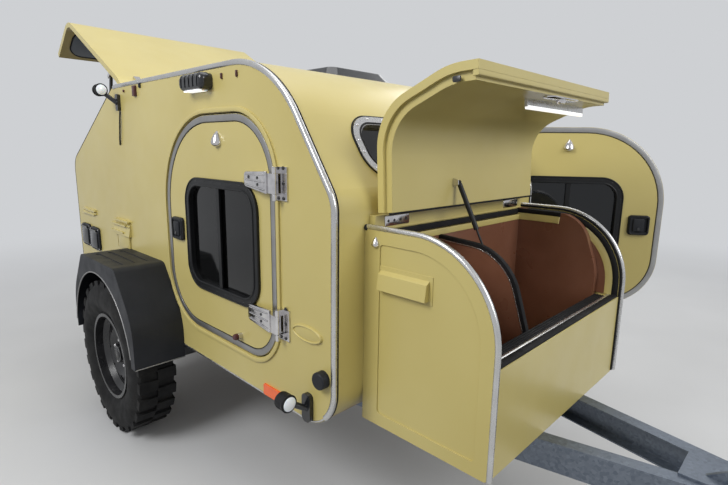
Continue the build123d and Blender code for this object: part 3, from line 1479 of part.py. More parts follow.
HATCH_STRUT_EYE = below_rear_slope(HATCH_STRUT_EYE_BACK, HATCH_STRUT_EYE_DROP)
HATCH_STRUT_FOOT = below_rear_slope(HATCH_STRUT_FOOT_BACK, HATCH_STRUT_FOOT_DROP)
HATCH_EYE_OPEN = swung(HATCH_STRUT_EYE, HATCH_HINGE, -HATCH_OPEN)
HATCH_CLOSED_LENGTH = span(HATCH_STRUT_EYE, HATCH_STRUT_FOOT)
HATCH_OPEN_LENGTH = span(HATCH_EYE_OPEN, HATCH_STRUT_FOOT)
hatch_cylinder = strut_cylinder(
    HATCH_EYE_OPEN, HATCH_STRUT_FOOT, -HATCH_STRUT_SIDE, HATCH_CLOSED_LENGTH - EYE_RADIUS - 6
)
hatch_rod = strut_rod(
    HATCH_EYE_OPEN, HATCH_STRUT_FOOT, -HATCH_STRUT_SIDE, HATCH_OPEN_LENGTH - HATCH_CLOSED_LENGTH + 24
)
for piece, name in ((hatch_cylinder, "hatch_strut_cylinders"), (hatch_rod, "hatch_strut_rods")):
    with BuildPart() as both:
        add(piece.part)
        mirror(piece.part, about=Plane.XZ)
    save(both, name)

# Fittings that stay on the trailer: the fixed halves of the lid's and the hatch's hinges, the struts'
# foot pins and the studs beside the box
LID_HINGE_THIRD = LID_HINGE_WIDTH / 3
LID_HINGE_START = LID_HINGE_Y + LID_HINGE_WIDTH / 2
HATCH_HINGE_THIRD = HATCH_HINGE_WIDTH / 3
HATCH_HINGE_START = HATCH_HINGE_Y + HATCH_HINGE_WIDTH / 2
with BuildPart() as fixed_fitting:
    for start in (LID_HINGE_START, LID_HINGE_START - 2 * LID_HINGE_THIRD - HINGE_GAP):
        with BuildSketch(side(start)):
            with Locations(LID_HINGE):
                Circle(LID_KNUCKLE - 1)
            with Locations((LID_HINGE[0], LID_HINGE[1] - LID_KNUCKLE)):
                Rectangle(LID_LEAF, LEAF, align=(Align.MAX, Align.MIN))
        extrude(amount=LID_HINGE_THIRD - HINGE_GAP)
    for start in (HATCH_HINGE_START, HATCH_HINGE_START - 2 * HATCH_HINGE_THIRD - HINGE_GAP):
        with BuildSketch(side(start)):
            with Locations(HATCH_HINGE):
                Circle(HATCH_KNUCKLE)
            with BuildLine():
                Polyline(
                    (-HATCH_HINGE_X + 2 * GAP, CABIN_HEIGHT - WALL / 2),
                    (-HATCH_HINGE_X + HATCH_LEAF, CABIN_HEIGHT - WALL / 2),
                    (-HATCH_HINGE_X + HATCH_LEAF, CABIN_HEIGHT + LEAF),
                    (-HATCH_HINGE_X + HATCH_KNUCKLE, HATCH_HINGE[1] + HATCH_KNUCKLE / 2),
                    (-HATCH_HINGE_X, HATCH_HINGE[1] - HATCH_KNUCKLE / 2),
                    close=True,
                )
            make_face()
            add(CABIN_OUTSIDE, mode=Mode.SUBTRACT)
        extrude(amount=HATCH_HINGE_THIRD - HINGE_GAP)
    strut_pin(HATCH_STRUT_FOOT, -HATCH_STRUT_SIDE, -INNER_HALF)
    half_bell(BOX_STUD, -BOX_HALF, BOX_STUD_RADIUS, BOX_STUD_HEIGHT)
with BuildPart() as trailer_fittings:
    add(fixed_fitting.part)
    mirror(fixed_fitting.part, about=Plane.XZ)
    strut_pin(LID_STRUT_FOOT, LID_STRUT_Y, DIVIDER_Y + DIVIDER_THICKNESS / 2)
save(trailer_fittings, "trailer_fittings")

# Fittings that move with the lid: the other halves of its hinges, and the strut's bracket
with BuildPart() as lid_fitting:
    with BuildSketch(side(LID_HINGE_START - LID_HINGE_THIRD)):
        with Locations(LID_HINGE):
            Circle(LID_KNUCKLE)
        with Locations((LID_HINGE[0], LID_HINGE[1])):
            Rectangle(LID_RISE, LID_RISE + LEAF, align=(Align.MIN, Align.MIN))
        with Locations((LID_BACK, LID_HINGE[1] + LID_RISE)):
            Rectangle(LID_LEAF, LEAF, align=(Align.MIN, Align.MIN))
    extrude(amount=LID_HINGE_THIRD - HINGE_GAP)
PLUG_BACK, PLUG_BEND = lid_line(LID_DEPTH)[:2]
PLUG_SLOPE = (PLUG_BEND[1] - PLUG_BACK[1]) / (PLUG_BEND[0] - PLUG_BACK[0])
with BuildPart() as closed_lid_fittings:
    add(lid_fitting.part)
    mirror(lid_fitting.part, about=Plane.XZ)
    with BuildSketch(side(LID_STRUT_Y - STRUT_RADIUS - PIN_CLEAR)):
        with BuildLine():
            Polyline(
                *[
                    (LID_STRUT_EYE[0] + x, PLUG_BACK[1] + (LID_STRUT_EYE[0] + x - PLUG_BACK[0]) * PLUG_SLOPE)
                    for x in (-BRACKET_HALF, BRACKET_HALF)
                ],
                (LID_STRUT_EYE[0] + EYE_RADIUS, LID_STRUT_EYE[1] - EYE_RADIUS),
                (LID_STRUT_EYE[0] - EYE_RADIUS, LID_STRUT_EYE[1] - EYE_RADIUS),
                close=True,
            )
        make_face()
    extrude(amount=PIN_PLATE)
    with BuildSketch(side(LID_STRUT_Y - STRUT_RADIUS - PIN_CLEAR)):
        with Locations(LID_STRUT_EYE):
            Circle(PIN_RADIUS)
    extrude(amount=-STRUT_RADIUS - PIN_CLEAR - EYE_THICKNESS / 2 - 1)
save(turned(closed_lid_fittings, LID_AXIS, LID_OPEN), "lid_fittings")

# Fittings that move with the hatch: the middle knuckles with their leaves, and the struts' brackets
BRACKET_FACE = -HATCH_STRUT_SIDE - STRUT_RADIUS - PIN_CLEAR
with BuildPart() as hatch_fitting:
    with BuildSketch(side(HATCH_HINGE_START - HATCH_HINGE_THIRD)):
        with Locations(HATCH_HINGE):
            Circle(HATCH_KNUCKLE)
        with BuildLine():
            Polyline(
                (-HATCH_HINGE_X - GAP, CABIN_HEIGHT - WALL / 2),
                (-HATCH_HINGE_X - HATCH_LEAF, CABIN_HEIGHT - WALL / 2),
                (-HATCH_HINGE_X - HATCH_LEAF, CABIN_HEIGHT + LEAF),
                (-HATCH_HINGE_X - HATCH_KNUCKLE, HATCH_HINGE[1] + HATCH_KNUCKLE / 2),
                (-HATCH_HINGE_X, HATCH_HINGE[1] - HATCH_KNUCKLE / 2),
                close=True,
            )
        make_face()
        add(HATCH_OUTSIDE, mode=Mode.SUBTRACT)
    extrude(amount=HATCH_HINGE_THIRD - HINGE_GAP)
    with BuildSketch(side(BRACKET_FACE)):
        with BuildLine():
            Polyline(
                (HATCH_STRUT_EYE[0] - BRACKET_HALF, CABIN_HEIGHT),
                (HATCH_STRUT_EYE[0] + BRACKET_HALF, CABIN_HEIGHT),
                (HATCH_STRUT_EYE[0] + EYE_RADIUS, HATCH_STRUT_EYE[1] - EYE_RADIUS),
                (HATCH_STRUT_EYE[0] - EYE_RADIUS, HATCH_STRUT_EYE[1] - EYE_RADIUS),
                close=True,
            )
        make_face()
        add(HATCH_INSIDE, mode=Mode.INTERSECT)
    extrude(amount=PIN_PLATE)
    with BuildSketch(side(BRACKET_FACE)):
        with Locations(HATCH_STRUT_EYE):
            Circle(PIN_RADIUS)
    extrude(amount=-STRUT_RADIUS - PIN_CLEAR - EYE_THICKNESS / 2 - 1)
with BuildPart() as closed_hatch_fittings:
    add(hatch_fitting.part)
    mirror(hatch_fitting.part, about=Plane.XZ)
save(turned(closed_hatch_fittings, HATCH_AXIS, HATCH_OPEN), "hatch_fittings")
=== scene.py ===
import json
from math import copysign, cos, pi, radians, sin, tan

import bmesh
import bpy
from mathutils import Matrix, Vector


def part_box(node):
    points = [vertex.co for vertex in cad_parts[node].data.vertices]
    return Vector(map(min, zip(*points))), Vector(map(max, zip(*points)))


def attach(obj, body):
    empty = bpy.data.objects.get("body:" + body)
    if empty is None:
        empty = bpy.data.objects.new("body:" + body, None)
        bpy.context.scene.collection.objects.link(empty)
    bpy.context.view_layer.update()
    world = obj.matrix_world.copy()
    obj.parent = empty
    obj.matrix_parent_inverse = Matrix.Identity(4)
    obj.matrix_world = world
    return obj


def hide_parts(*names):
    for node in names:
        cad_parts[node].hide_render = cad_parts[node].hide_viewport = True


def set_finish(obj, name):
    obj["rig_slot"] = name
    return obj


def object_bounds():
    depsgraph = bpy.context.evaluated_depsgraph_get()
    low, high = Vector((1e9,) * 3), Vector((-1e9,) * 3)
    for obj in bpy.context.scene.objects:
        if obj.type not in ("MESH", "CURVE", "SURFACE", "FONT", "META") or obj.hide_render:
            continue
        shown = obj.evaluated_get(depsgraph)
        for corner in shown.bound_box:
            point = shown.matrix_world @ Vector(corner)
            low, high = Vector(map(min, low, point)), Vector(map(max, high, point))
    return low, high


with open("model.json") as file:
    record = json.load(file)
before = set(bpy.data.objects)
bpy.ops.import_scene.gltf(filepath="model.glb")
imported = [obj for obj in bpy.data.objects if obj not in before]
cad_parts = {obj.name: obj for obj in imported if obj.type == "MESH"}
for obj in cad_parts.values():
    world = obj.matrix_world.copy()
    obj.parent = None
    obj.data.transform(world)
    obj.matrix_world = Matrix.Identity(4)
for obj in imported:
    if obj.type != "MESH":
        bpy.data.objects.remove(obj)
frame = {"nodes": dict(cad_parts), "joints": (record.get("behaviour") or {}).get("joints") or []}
cad_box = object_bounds()
NODES = frame["nodes"]
JOINTS = {joint["name"]: joint for joint in frame["joints"]}

# Sizes below are in millimetres, seen from the right side of the trailer: x forward from the
# cabin's front wall, z up from the bottom edge of its side walls, y to the left.
WALL_LOW, WALL_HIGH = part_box("side_wall_right")
CORNER = Vector((WALL_HIGH.x, 0, WALL_LOW.z))
# Half the width of the cabin, and of the nose box
HALF = 650
BOX_HALF = 518
MM = 0.001
GROUND = cad_box[0].z


def at(x, y, z):
    """A point in the scene's metres."""
    return CORNER + Vector((x, y, z)) * MM


def srgb(red, green, blue):
    """Linear colour from the 0 to 255 values that a screen shows."""
    linear = []
    for value in (red, green, blue):
        share = value / 255
        linear.append(share / 12.92 if share <= 0.04045 else ((share + 0.055) / 1.055) ** 2.4)
    return (*linear, 1)


def lifted(colour, by):
    return [min(value + by, 255) for value in colour]


# Camera: place in metres, angles in degrees, lens in millimetres
CAMERA_PLACE = (-0.273306, -1.633501, 0.984816)
CAMERA_YAW = 44.07543
CAMERA_PITCH = 11.02163
CAMERA_ROLL = -0.82475
CAMERA_LENS = 24.0618


def make_camera():
    yaw, pitch, roll = radians(CAMERA_YAW), radians(CAMERA_PITCH), radians(CAMERA_ROLL)
    forward = Vector((-sin(yaw) * cos(pitch), cos(yaw) * cos(pitch), -sin(pitch)))
    level = Vector((cos(yaw), sin(yaw), 0))
    down = forward.cross(level)
    right = level * cos(roll) + down * sin(roll)
    below = down * cos(roll) - level * sin(roll)
    data = bpy.data.cameras.new("camera")
    data.lens = CAMERA_LENS
    data.sensor_width = 36
    data.clip_start = 0.02
    camera = bpy.data.objects.new("camera", data)
    turn = Matrix((right, -below, -forward)).transposed().to_4x4()
    camera.matrix_world = Matrix.Translation(CAMERA_PLACE) @ turn
    bpy.context.scene.collection.objects.link(camera)
    bpy.context.scene.camera = camera


# Materials
def fill(made, **values):
    """Set a node's inputs, named with _ for each space."""
    for name, value in values.items():
        made.inputs[name.replace("_", " ")].default_value = value


class Finish:
    """A material made of nodes round one Principled shader."""

    def __init__(self, name, colour, roughness, metallic=0.0, coat=0.0, ior=1.5, specular=0.5):
        self.material = bpy.data.materials.new(name)
        self.material.use_nodes = True
        self.tree = self.material.node_tree
        self.tree.nodes.clear()
        self.shader = self.node("ShaderNodeBsdfPrincipled")
        self.output = self.node("ShaderNodeOutputMaterial")
        self.link(self.shader.outputs["BSDF"], self.output.inputs["Surface"])
        fill(
            self.shader, Base_Color=srgb(*colour), Roughness=roughness, Metallic=metallic, IOR=ior,
            Specular_IOR_Level=specular, Coat_Weight=coat, Coat_Roughness=0.3,
        )
        self.place = self.node("ShaderNodeTexCoord").outputs["Object"]
        self.normal = None

    def node(self, kind, **settings):
        made = self.tree.nodes.new(kind)
        for key, value in settings.items():
            setattr(made, key, value)
        return made

    def link(self, start, end):
        self.tree.links.new(start, end)

    def noise(self, scale, detail=3.0, stretch=(1, 1, 1)):
        stretched = self.node("ShaderNodeMapping")
        fill(stretched, Scale=stretch)
        self.link(self.place, stretched.inputs["Vector"])
        made = self.node("ShaderNodeTexNoise")
        fill(made, Scale=scale, Detail=detail)
        self.link(stretched.outputs["Vector"], made.inputs["Vector"])
        return made.outputs["Fac"]

    def cells(self, scale):
        made = self.node("ShaderNodeTexVoronoi")
        fill(made, Scale=scale)
        self.link(self.place, made.inputs["Vector"])
        return made.outputs["Color"]

    def bands(self, scale, direction):
        made = self.node("ShaderNodeTexWave", wave_type="BANDS", bands_direction=direction)
        fill(made, Scale=scale)
        self.link(self.place, made.inputs["Vector"])
        return made.outputs["Fac"]

    def ramp(self, factor, stops):
        made = self.node("ShaderNodeValToRGB")
        elements = made.color_ramp.elements
        for index, (spot, colour) in enumerate(stops):
            element = elements[index] if index < 2 else elements.new(spot)
            element.position = spot
            element.color = srgb(*colour)
        self.link(factor, made.inputs["Fac"])
        return made.outputs["Color"]

    def colours(self, factor, low, high, start=0.35, end=0.65):
        """The colour runs from one tone to another with a texture."""
        self.link(self.ramp(factor, ((start, low), (end, high))), self.shader.inputs["Base Color"])

    def gloss(self, factor, low, high):
        """The roughness runs between two values with a texture."""
        made = self.node("ShaderNodeMapRange")
        fill(made, From_Min=0.3, From_Max=0.7, To_Min=low, To_Max=high)
        self.link(factor, made.inputs["Value"])
        self.link(made.outputs["Result"], self.shader.inputs["Roughness"])

    def shade(self, made):
        """The shading normal passes through one more node."""
        if self.normal:
            self.link(self.normal, made.inputs["Normal"])
        self.normal = made.outputs["Normal"]
        self.link(self.normal, self.shader.inputs["Normal"])

    def edges(self, radius):
        """Corners shade as if they were rounded."""
        made = self.node("ShaderNodeBevel", samples=4)
        fill(made, Radius=radius * MM)
        self.shade(made)

    def bump(self, height, depth, strength):
        made = self.node("ShaderNodeBump")
        fill(made, Distance=depth * MM, Strength=strength)
        self.link(height, made.inputs["Height"])
        self.shade(made)


# Black surfaces reflect less of the pale surroundings
BLACK_SPECULAR = 0.28


def body_paint():
    """Satin paint with a fine orange-peel skin."""
    finish = Finish("body_paint", (207, 192, 121), 0.45, coat=0.6)
    finish.colours(finish.noise(1.7), (199, 183, 110), (207, 192, 121))
    finish.gloss(finish.noise(9), 0.36, 0.5)
    finish.edges(1.6)
    finish.bump(finish.noise(260, 2), 0.25, 0.35)
    return finish.material


def aluminium(name="trim_aluminium", roughness=(0.24, 0.3), tone=200):
    finish = Finish(name, (tone, tone, tone), 0.3, metallic=0.92)
    finish.colours(finish.noise(12), (tone - 5, tone - 6, tone - 7), (tone + 4, tone + 4, tone + 3))
    finish.gloss(finish.noise(30), *roughness)
    finish.edges(0.8)
    finish.bump(finish.noise(90, 2, (0.08, 1, 1)), 0.02, 0.15)
    return finish.material


def moulded_black():
    """Black plastic with a fine moulded grain."""
    colour = (29, 31, 36)
    finish = Finish("black_plastic", colour, 0.5, specular=BLACK_SPECULAR)
    finish.colours(finish.noise(6), colour, lifted(colour, 8))
    finish.gloss(finish.noise(14), 0.42, 0.56)
    finish.edges(1.6)
    finish.bump(finish.noise(420, 2), 0.18, 0.6)
    return finish.material


def rubber(name, colour, dust):
    finish = Finish(name, colour, 0.7, specular=BLACK_SPECULAR)
    finish.colours(finish.noise(11, 6), colour, dust, 0.45, 0.8)
    finish.gloss(finish.noise(20), 0.6, 0.82)
    finish.edges(1.2)
    finish.bump(finish.noise(300, 3), 0.2, 0.5)
    return finish.material


def galvanised():
    """Hot-dip zinc with its spangle."""
    finish = Finish("galvanised_steel", (112, 120, 132), 0.5, metallic=0.8)
    finish.colours(finish.cells(110), (100, 108, 120), (128, 136, 147), 0.1, 0.9)
    finish.gloss(finish.cells(110), 0.42, 0.6)
    finish.edges(1.5)
    finish.bump(finish.noise(90, 4), 0.3, 0.4)
    return finish.material


def chrome():
    finish = Finish("chrome", (205, 203, 205), 0.12, metallic=1.0)
    finish.colours(finish.noise(30), (196, 194, 196), (216, 214, 214))
    finish.gloss(finish.noise(45, 5), 0.1, 0.24)
    finish.edges(1.0)
    finish.bump(finish.noise(160, 3), 0.06, 0.4)
    return finish.material


def enamel(name, colour, roughness, coat=0.3, specular=0.5):
    """Smooth gloss paint on steel."""
    finish = Finish(name, colour, 0.3, coat=coat, specular=specular)
    finish.colours(finish.noise(8), colour, lifted(colour, 7))
    finish.gloss(finish.noise(12, 5), *roughness)
    finish.edges(1.4)
    finish.bump(finish.noise(140, 3), 0.12, 0.4)
    return finish.material


def tinted_glass():
    finish = Finish("tinted_glass", (24, 26, 28), 0.04, ior=1.45, specular=0.3)
    fill(finish.shader, Transmission_Weight=0.92)
    finish.gloss(finish.noise(3), 0.02, 0.06)
    finish.bump(finish.noise(2.5, 1), 0.15, 0.15)
    return finish.material


def plywood():
    """Birch ply: pale veneer with a long grain."""
    finish = Finish("birch_ply", (196, 164, 118), 0.5, coat=0.15)
    grain = finish.noise(26, 6, (0.06, 1, 0.6))
    finish.colours(grain, (178, 143, 96), (205, 176, 132), 0.3, 0.7)
    finish.gloss(grain, 0.4, 0.58)
    finish.edges(1.0)
    finish.bump(grain, 0.12, 0.5)
    return finish.material


def lining():
    """Glossy brown lining of the nose box."""
    finish = Finish("box_lining", (124, 82, 62), 0.35, coat=0.2)
    finish.colours(finish.noise(5, 4), (118, 77, 57), (130, 88, 68))
    finish.gloss(finish.noise(9), 0.24, 0.4)
    finish.edges(1.5)
    finish.bump(finish.noise(120, 3), 0.2, 0.4)
    return finish.material


def cloth():
    """Woven mattress cover."""
    finish = Finish("mattress_cloth", (150, 148, 142), 0.85)
    weave = finish.node("ShaderNodeMath", operation="MAXIMUM")
    for index, direction in enumerate("XY"):
        finish.link(finish.bands(260, direction), weave.inputs[index])
    finish.colours(finish.noise(30), (140, 139, 134), (158, 156, 150))
    finish.bump(weave.outputs["Value"], 0.3, 0.6)
    fill(finish.shader, Sheen_Weight=0.3)
    return finish.material


def lens(name, colour, glow):
    """Moulded lamp lens with fine ribs."""
    finish = Finish(name, colour, 0.15, coat=0.5)
    finish.colours(finish.noise(25), colour, lifted(colour, 12))
    fill(finish.shader, Subsurface_Weight=0.15, Emission_Color=srgb(*colour), Emission_Strength=glow)
    finish.edges(1.2)
    finish.bump(finish.bands(60, "Z"), 0.3, 0.5)
    return finish.material


FINISHES = (
    body_paint(),
    enamel("gloss_black", (20, 22, 26), (0.1, 0.2)),
    enamel("dark_red", (70, 20, 22), (0.3, 0.45)),
    aluminium("dull_alloy", (0.36, 0.44), 158),
    enamel("frame_black", (13, 14, 16), (0.3, 0.42), 0.05, BLACK_SPECULAR),
    enamel("blue_glass", (92, 104, 120), (0.05, 0.1)),
    lens("led_white", (250, 250, 250), 1.0),
    enamel("dark_steel", (40, 41, 44), (0.15, 0.3)),
    aluminium(),
    moulded_black(),
    tinted_glass(),
    galvanised(),
    enamel("axle_steel", (44, 45, 48), (0.4, 0.6)),
    chrome(),
    enamel("black_paint", (24, 24, 26), (0.22, 0.38)),
    rubber("tyre_rubber", (14, 14, 15), (29, 28, 27)),
    rubber("black_rubber", (16, 16, 18), (26, 26, 28)),
    plywood(),
    lining(),
    cloth(),
    lens("lamp_lens", (226, 228, 232), 0.15),
    lens("orange_lens", (236, 92, 20), 0.1),
    lens("red_lens", (170, 18, 20), 0.05),
)
LOOKS = {finish.name.split(".")[0]: finish for finish in FINISHES}


# The record's slot of each finish that isn't a slot itself, and the nodes that take one
RECORD_SLOTS = {
    "gloss_black": "black_plastic",
    "dark_red": "black_plastic",
    "dark_steel": "black_plastic",
    "frame_black": "black_plastic",
    "dull_alloy": "trim_aluminium",
    "blue_glass": "tinted_glass",
    "led_white": "lamp_lens",
}
NODE_LOOKS = {
    "roof_vent": "gloss_black",
    "lamp_housings": "gloss_black",
    "lid_strut_rod": "frame_black",
    "lid_strut_cylinder": "frame_black",
    "window_frame_right": "frame_black",
    "window_frame_left": "frame_black",
}


def dress_nodes():
    for name, node in NODES.items():
        slot = node.data.materials[0].name.split(".")[0]
        node.data.materials[0] = LOOKS[NODE_LOOKS.get(name, slot)]


# Pieces
def piece(name, points, faces, slot, body):
    mesh = bpy.data.meshes.new(name)
    mesh.from_pydata([tuple(point) for point in points], [], faces)
    mesh.validate()
    mesh.update()
    mesh.polygons.foreach_set("use_smooth", [True] * len(mesh.polygons))
    mesh.materials.append(LOOKS[slot])
    face_outward(mesh)
    made = bpy.data.objects.new(name, mesh)
    bpy.context.scene.collection.objects.link(made)
    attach(made, body)
    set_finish(made, RECORD_SLOTS.get(slot, slot))
    return made


# Edges that turn by more degrees than this stay sharp
SHARP_ANGLE = 38


def face_outward(mesh):
    """Normals point outward, and edges that turn sharply stay sharp."""
    work = bmesh.new()
    work.from_mesh(mesh)
    bmesh.ops.recalc_face_normals(work, faces=work.faces)
    work.to_mesh(mesh)
    work.free()
    mesh.set_sharp_from_angle(angle=radians(SHARP_ANGLE))


def grid_faces(rows, columns, close_rows, close_columns, start=0):
    """Quads over a grid of points, row by row."""
    faces = []
    for row in range(rows if close_rows else rows - 1):
        after = (row + 1) % rows
        for column in range(columns if close_columns else columns - 1):
            beside = (column + 1) % columns
            corners = ((row, column), (row, beside), (after, beside), (after, column))
            faces.append(tuple(start + along * columns + across for along, across in corners))
    return faces


def capped(rows, columns, start=0):
    """Faces over rings of points, with a cap at either end."""
    last = start + (rows - 1) * columns
    caps = [tuple(range(first, first + columns)) for first in (start, last)]
    return grid_faces(rows, columns, False, True, start) + caps


def arc(before, corner, after, steps):
    """Points and outward normals round a corner, each corner of x, z and radius."""
    *corner, radius = corner
    corner = Vector(corner)
    back = (Vector(before[:2]) - corner).normalized()
    ahead = (Vector(after[:2]) - corner).normalized()
    half = back.angle(ahead) / 2
    centre = corner + (back + ahead).normalized() * radius / sin(half)
    start = corner + back * radius / tan(half) - centre
    turn = copysign(pi - 2 * half, ahead.cross(back))
    spokes = [Matrix.Rotation(turn * step / steps, 2) @ start for step in range(steps + 1)]
    return [(centre + spoke, spoke.normalized()) for spoke in spokes]


def outline(corners, steps):
    """Points and outward normals along a closed outline, from corners of x, z and radius."""
    path = []
    for index, corner in enumerate(corners):
        path += arc(corners[index - 1], corner, corners[(index + 1) % len(corners)], steps)
    return path


def on_right(x, z, out):
    """A point on the right side, out from the wall's face."""
    return at(x, -HALF - out, z)


def sweep(name, path, profile, where, slot, body="trailer", closed=True):
    """A section of (across, out) points carried along an outline. The out may be a function of
    the place along the path, from 0 to 1."""
    points = []
    last = len(path) - 1
    for index, (spot, normal) in enumerate(path):
        for across, out in profile:
            moved = spot + normal * across
            points.append(where(moved.x, moved.y, out(index / last) if callable(out) else out))
    rows, columns = len(path), len(profile)
    faces = grid_faces(rows, columns, True, True) if closed else capped(rows, columns)
    return piece(name, points, faces, slot, body)


def bead(width, height, base=0.0, middle=0.0, steps=6):
    """A low rounded section, standing on its base."""
    section = [(middle + width / 2, base - 1), (middle - width / 2, base - 1)]
    for step in range(steps + 1):
        turn = pi * step / steps
        section.append((middle - width / 2 * cos(turn), base + height * sin(turn) ** 0.6))
    return section


def flat_bead(width, height, base=0.0, middle=0.0, round_off=2.0):
    """A flat strip with rounded shoulders."""
    left = middle - width / 2
    right = middle + width / 2
    return [
        (right, base - 1),
        (left, base - 1),
        (left, base + height - round_off),
        (left + 0.3 * round_off, base + height - 0.3 * round_off),
        (left + round_off, base + height),
        (right - round_off, base + height),
        (right - 0.3 * round_off, base + height - 0.3 * round_off),
        (right, base + height - round_off),
    ]


def lathe(name, profile, centres, slot, body="trailer", axis=Vector((0, -1, 0)), steps=12):
    """Round pieces from a profile of (radius, height), one at each centre, as one mesh."""
    axis = axis.normalized()
    across = axis.orthogonal().normalized()
    other = axis.cross(across)
    points = []
    faces = []
    for centre in centres:
        start = len(points)
        for radius, height in profile:
            for step in range(steps):
                turn = 2 * pi * step / steps
                spoke = across * cos(turn) + other * sin(turn)
                points.append(centre + (spoke * radius + axis * height) * MM)
        faces += capped(len(profile), steps, start)
    return piece(name, points, faces, slot, body)


def dome(radius, height, base=0.0):
    """Profile of a screw head."""
    return [
        (radius, base - 1),
        (radius, base + 0.3 * height),
        (0.86 * radius, base + 0.75 * height),
        (0.5 * radius, base + height),
        (0.12 * radius, base + 1.02 * height),
    ]


def box_corners(x, z, width, height, radius):
    """Corners of a rounded rectangle for outline()."""
    right, left = x + width / 2, x - width / 2
    top, low = z + height / 2, z - height / 2
    return ((right, low, radius), (right, top, radius), (left, top, radius), (left, low, radius))


def route(corners, steps=16):
    """Points and left-hand normals along an open line of x, z and corner radius."""
    spots = [Vector(corners[0][:2])]
    for before, corner, after in zip(corners, corners[1:], corners[2:]):
        spots += [spot for spot, normal in arc(before, corner, after, steps)]
    spots.append(Vector(corners[-1][:2]))
    path = []
    for index, spot in enumerate(spots):
        ahead = spots[min(index + 1, len(spots) - 1)] - spots[max(index - 1, 0)]
        path.append((spot, Vector((-ahead.y, ahead.x)).normalized()))
    return path


def slab(name, path, low, high, bevel, where, slot, body="trailer"):
    """A plate with a rounded edge, from its low face out to its high one."""
    rings = ((0, low), (0, high - bevel), (0.3 * bevel, high - 0.3 * bevel), (bevel, high))
    points = []
    for shrink, out in rings:
        for spot, normal in path:
            moved = spot - normal * shrink
            points.append(where(moved.x, moved.y, out))
    return piece(name, points, capped(len(rings), len(path)), slot, body)


def tube(name, spots, radius, slot, body="trailer", steps=8):
    """A round bar through points of the trailer."""
    spots = [at(*spot) for spot in spots]
    last = len(spots) - 1
    points = []
    across = None
    for index, spot in enumerate(spots):
        ahead = (spots[min(index + 1, last)] - spots[max(index - 1, 0)]).normalized()
        across = ahead.orthogonal() if across is None else across - ahead * across.dot(ahead)
        across.normalize()
        other = ahead.cross(across)
        for step in range(steps):
            turn = 2 * pi * step / steps
            points.append(spot + (across * cos(turn) + other * sin(turn)) * radius * MM)
    return piece(name, points, capped(last + 1, steps), slot, body)


def bar(name, section, start, end, slot, body="trailer"):
    """A section of x and z drawn out along y."""
    points = [at(x, y, z) for y in (start, end) for x, z in section]
    return piece(name, points, capped(2, len(section)), slot, body)


def rounded(corners, steps=4):
    """A section with rounded corners, from x, z and radius."""
    return [(spot.x, spot.y) for spot, normal in outline(corners, steps)]


def strip(low, high, near, far=None):
    """Section of a bar between two corners of x and z, with a corner radius at each x."""
    far = near if far is None else far
    (left, bottom), (right, top) = low, high
    return rounded(((left, bottom, near), (right, bottom, far), (right, top, far), (left, top, near)))


def facing(x, way=1):
    """Maker of points on a plane across the trailer, out along x."""
    return lambda y, z, out: at(x + way * out, y, z)


def face_of(node, normal, up):
    """Maker of points on a node's outermost flat face, from its middle."""
    normal, up = Vector(normal).normalized(), Vector(up).normalized()
    across = up.cross(normal)
    spots = [NODES[node].matrix_world @ vertex.co for vertex in NODES[node].data.vertices]
    low = [min(spot[axis] for spot in spots) for axis in range(3)]
    high = [max(spot[axis] for spot in spots) for axis in range(3)]
    middle = (Vector(low) + Vector(high)) / 2
    middle += normal * (max(spot.dot(normal) for spot in spots) - middle.dot(normal))
    return lambda a, b, out: middle + (across * a + up * b + normal * out) * MM


def on_box(x, z, out):
    """A point on the right side of the nose box."""
    return at(x, -BOX_HALF - out, z)


def on_divider(x, z, y):
    return at(x, y, z)


def twin(made, body, turn=Matrix.Identity(4)):
    """The same piece on the left side, turned with what it sits on."""
    mesh = made.data.copy()
    mesh.transform(turn @ Matrix.Diagonal((1, -1, 1, 1)))
    mesh.flip_normals()
    other = bpy.data.objects.new(made.name.replace("right", "left"), mesh)
    bpy.context.scene.collection.objects.link(other)
    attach(other, body)
    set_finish(other, made["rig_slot"])
    return other


def hinge_turn(joint_name, angle):
    """Rotation about a joint's axis."""
    joint = JOINTS[joint_name]
    place = Matrix.Translation(joint["pos_m"])
    return place @ Matrix.Rotation(radians(angle), 4, Vector(joint["axis"])) @ place.inverted()


# Turns from shut to where each stands at rest
LEFT_DOOR_TURN = hinge_turn("left_door_swing", -147)
LID_TURN = hinge_turn("box_lid_swing", -94)
HATCH_TURN = hinge_turn("hatch_swing", -56)


def on_both_walls(*made):
    for each in made:
        twin(each, "trailer")


def on_both_doors(*made):
    for each in made:
        twin(each, "left_door", LEFT_DOOR_TURN)


# Outlines as corners of x, z and radius
CABIN = (
    (0, 0, 147),
    (0, 780, 130),
    (-315, 1240, 445),
    (-1728, 1240, 200),
    (-2500, 836, 110),
    (-2500, 0, 120),
)
DOOR = ((-302, 142, 173), (-302, 1057, 247), (-1148, 1057, 390), (-1148, 142, 250))
WINDOW = ((-404, 328, 110), (-404, 809, 110), (-957, 809, 110), (-957, 328, 110))
# Steps in each corner's arc
ARC = 16


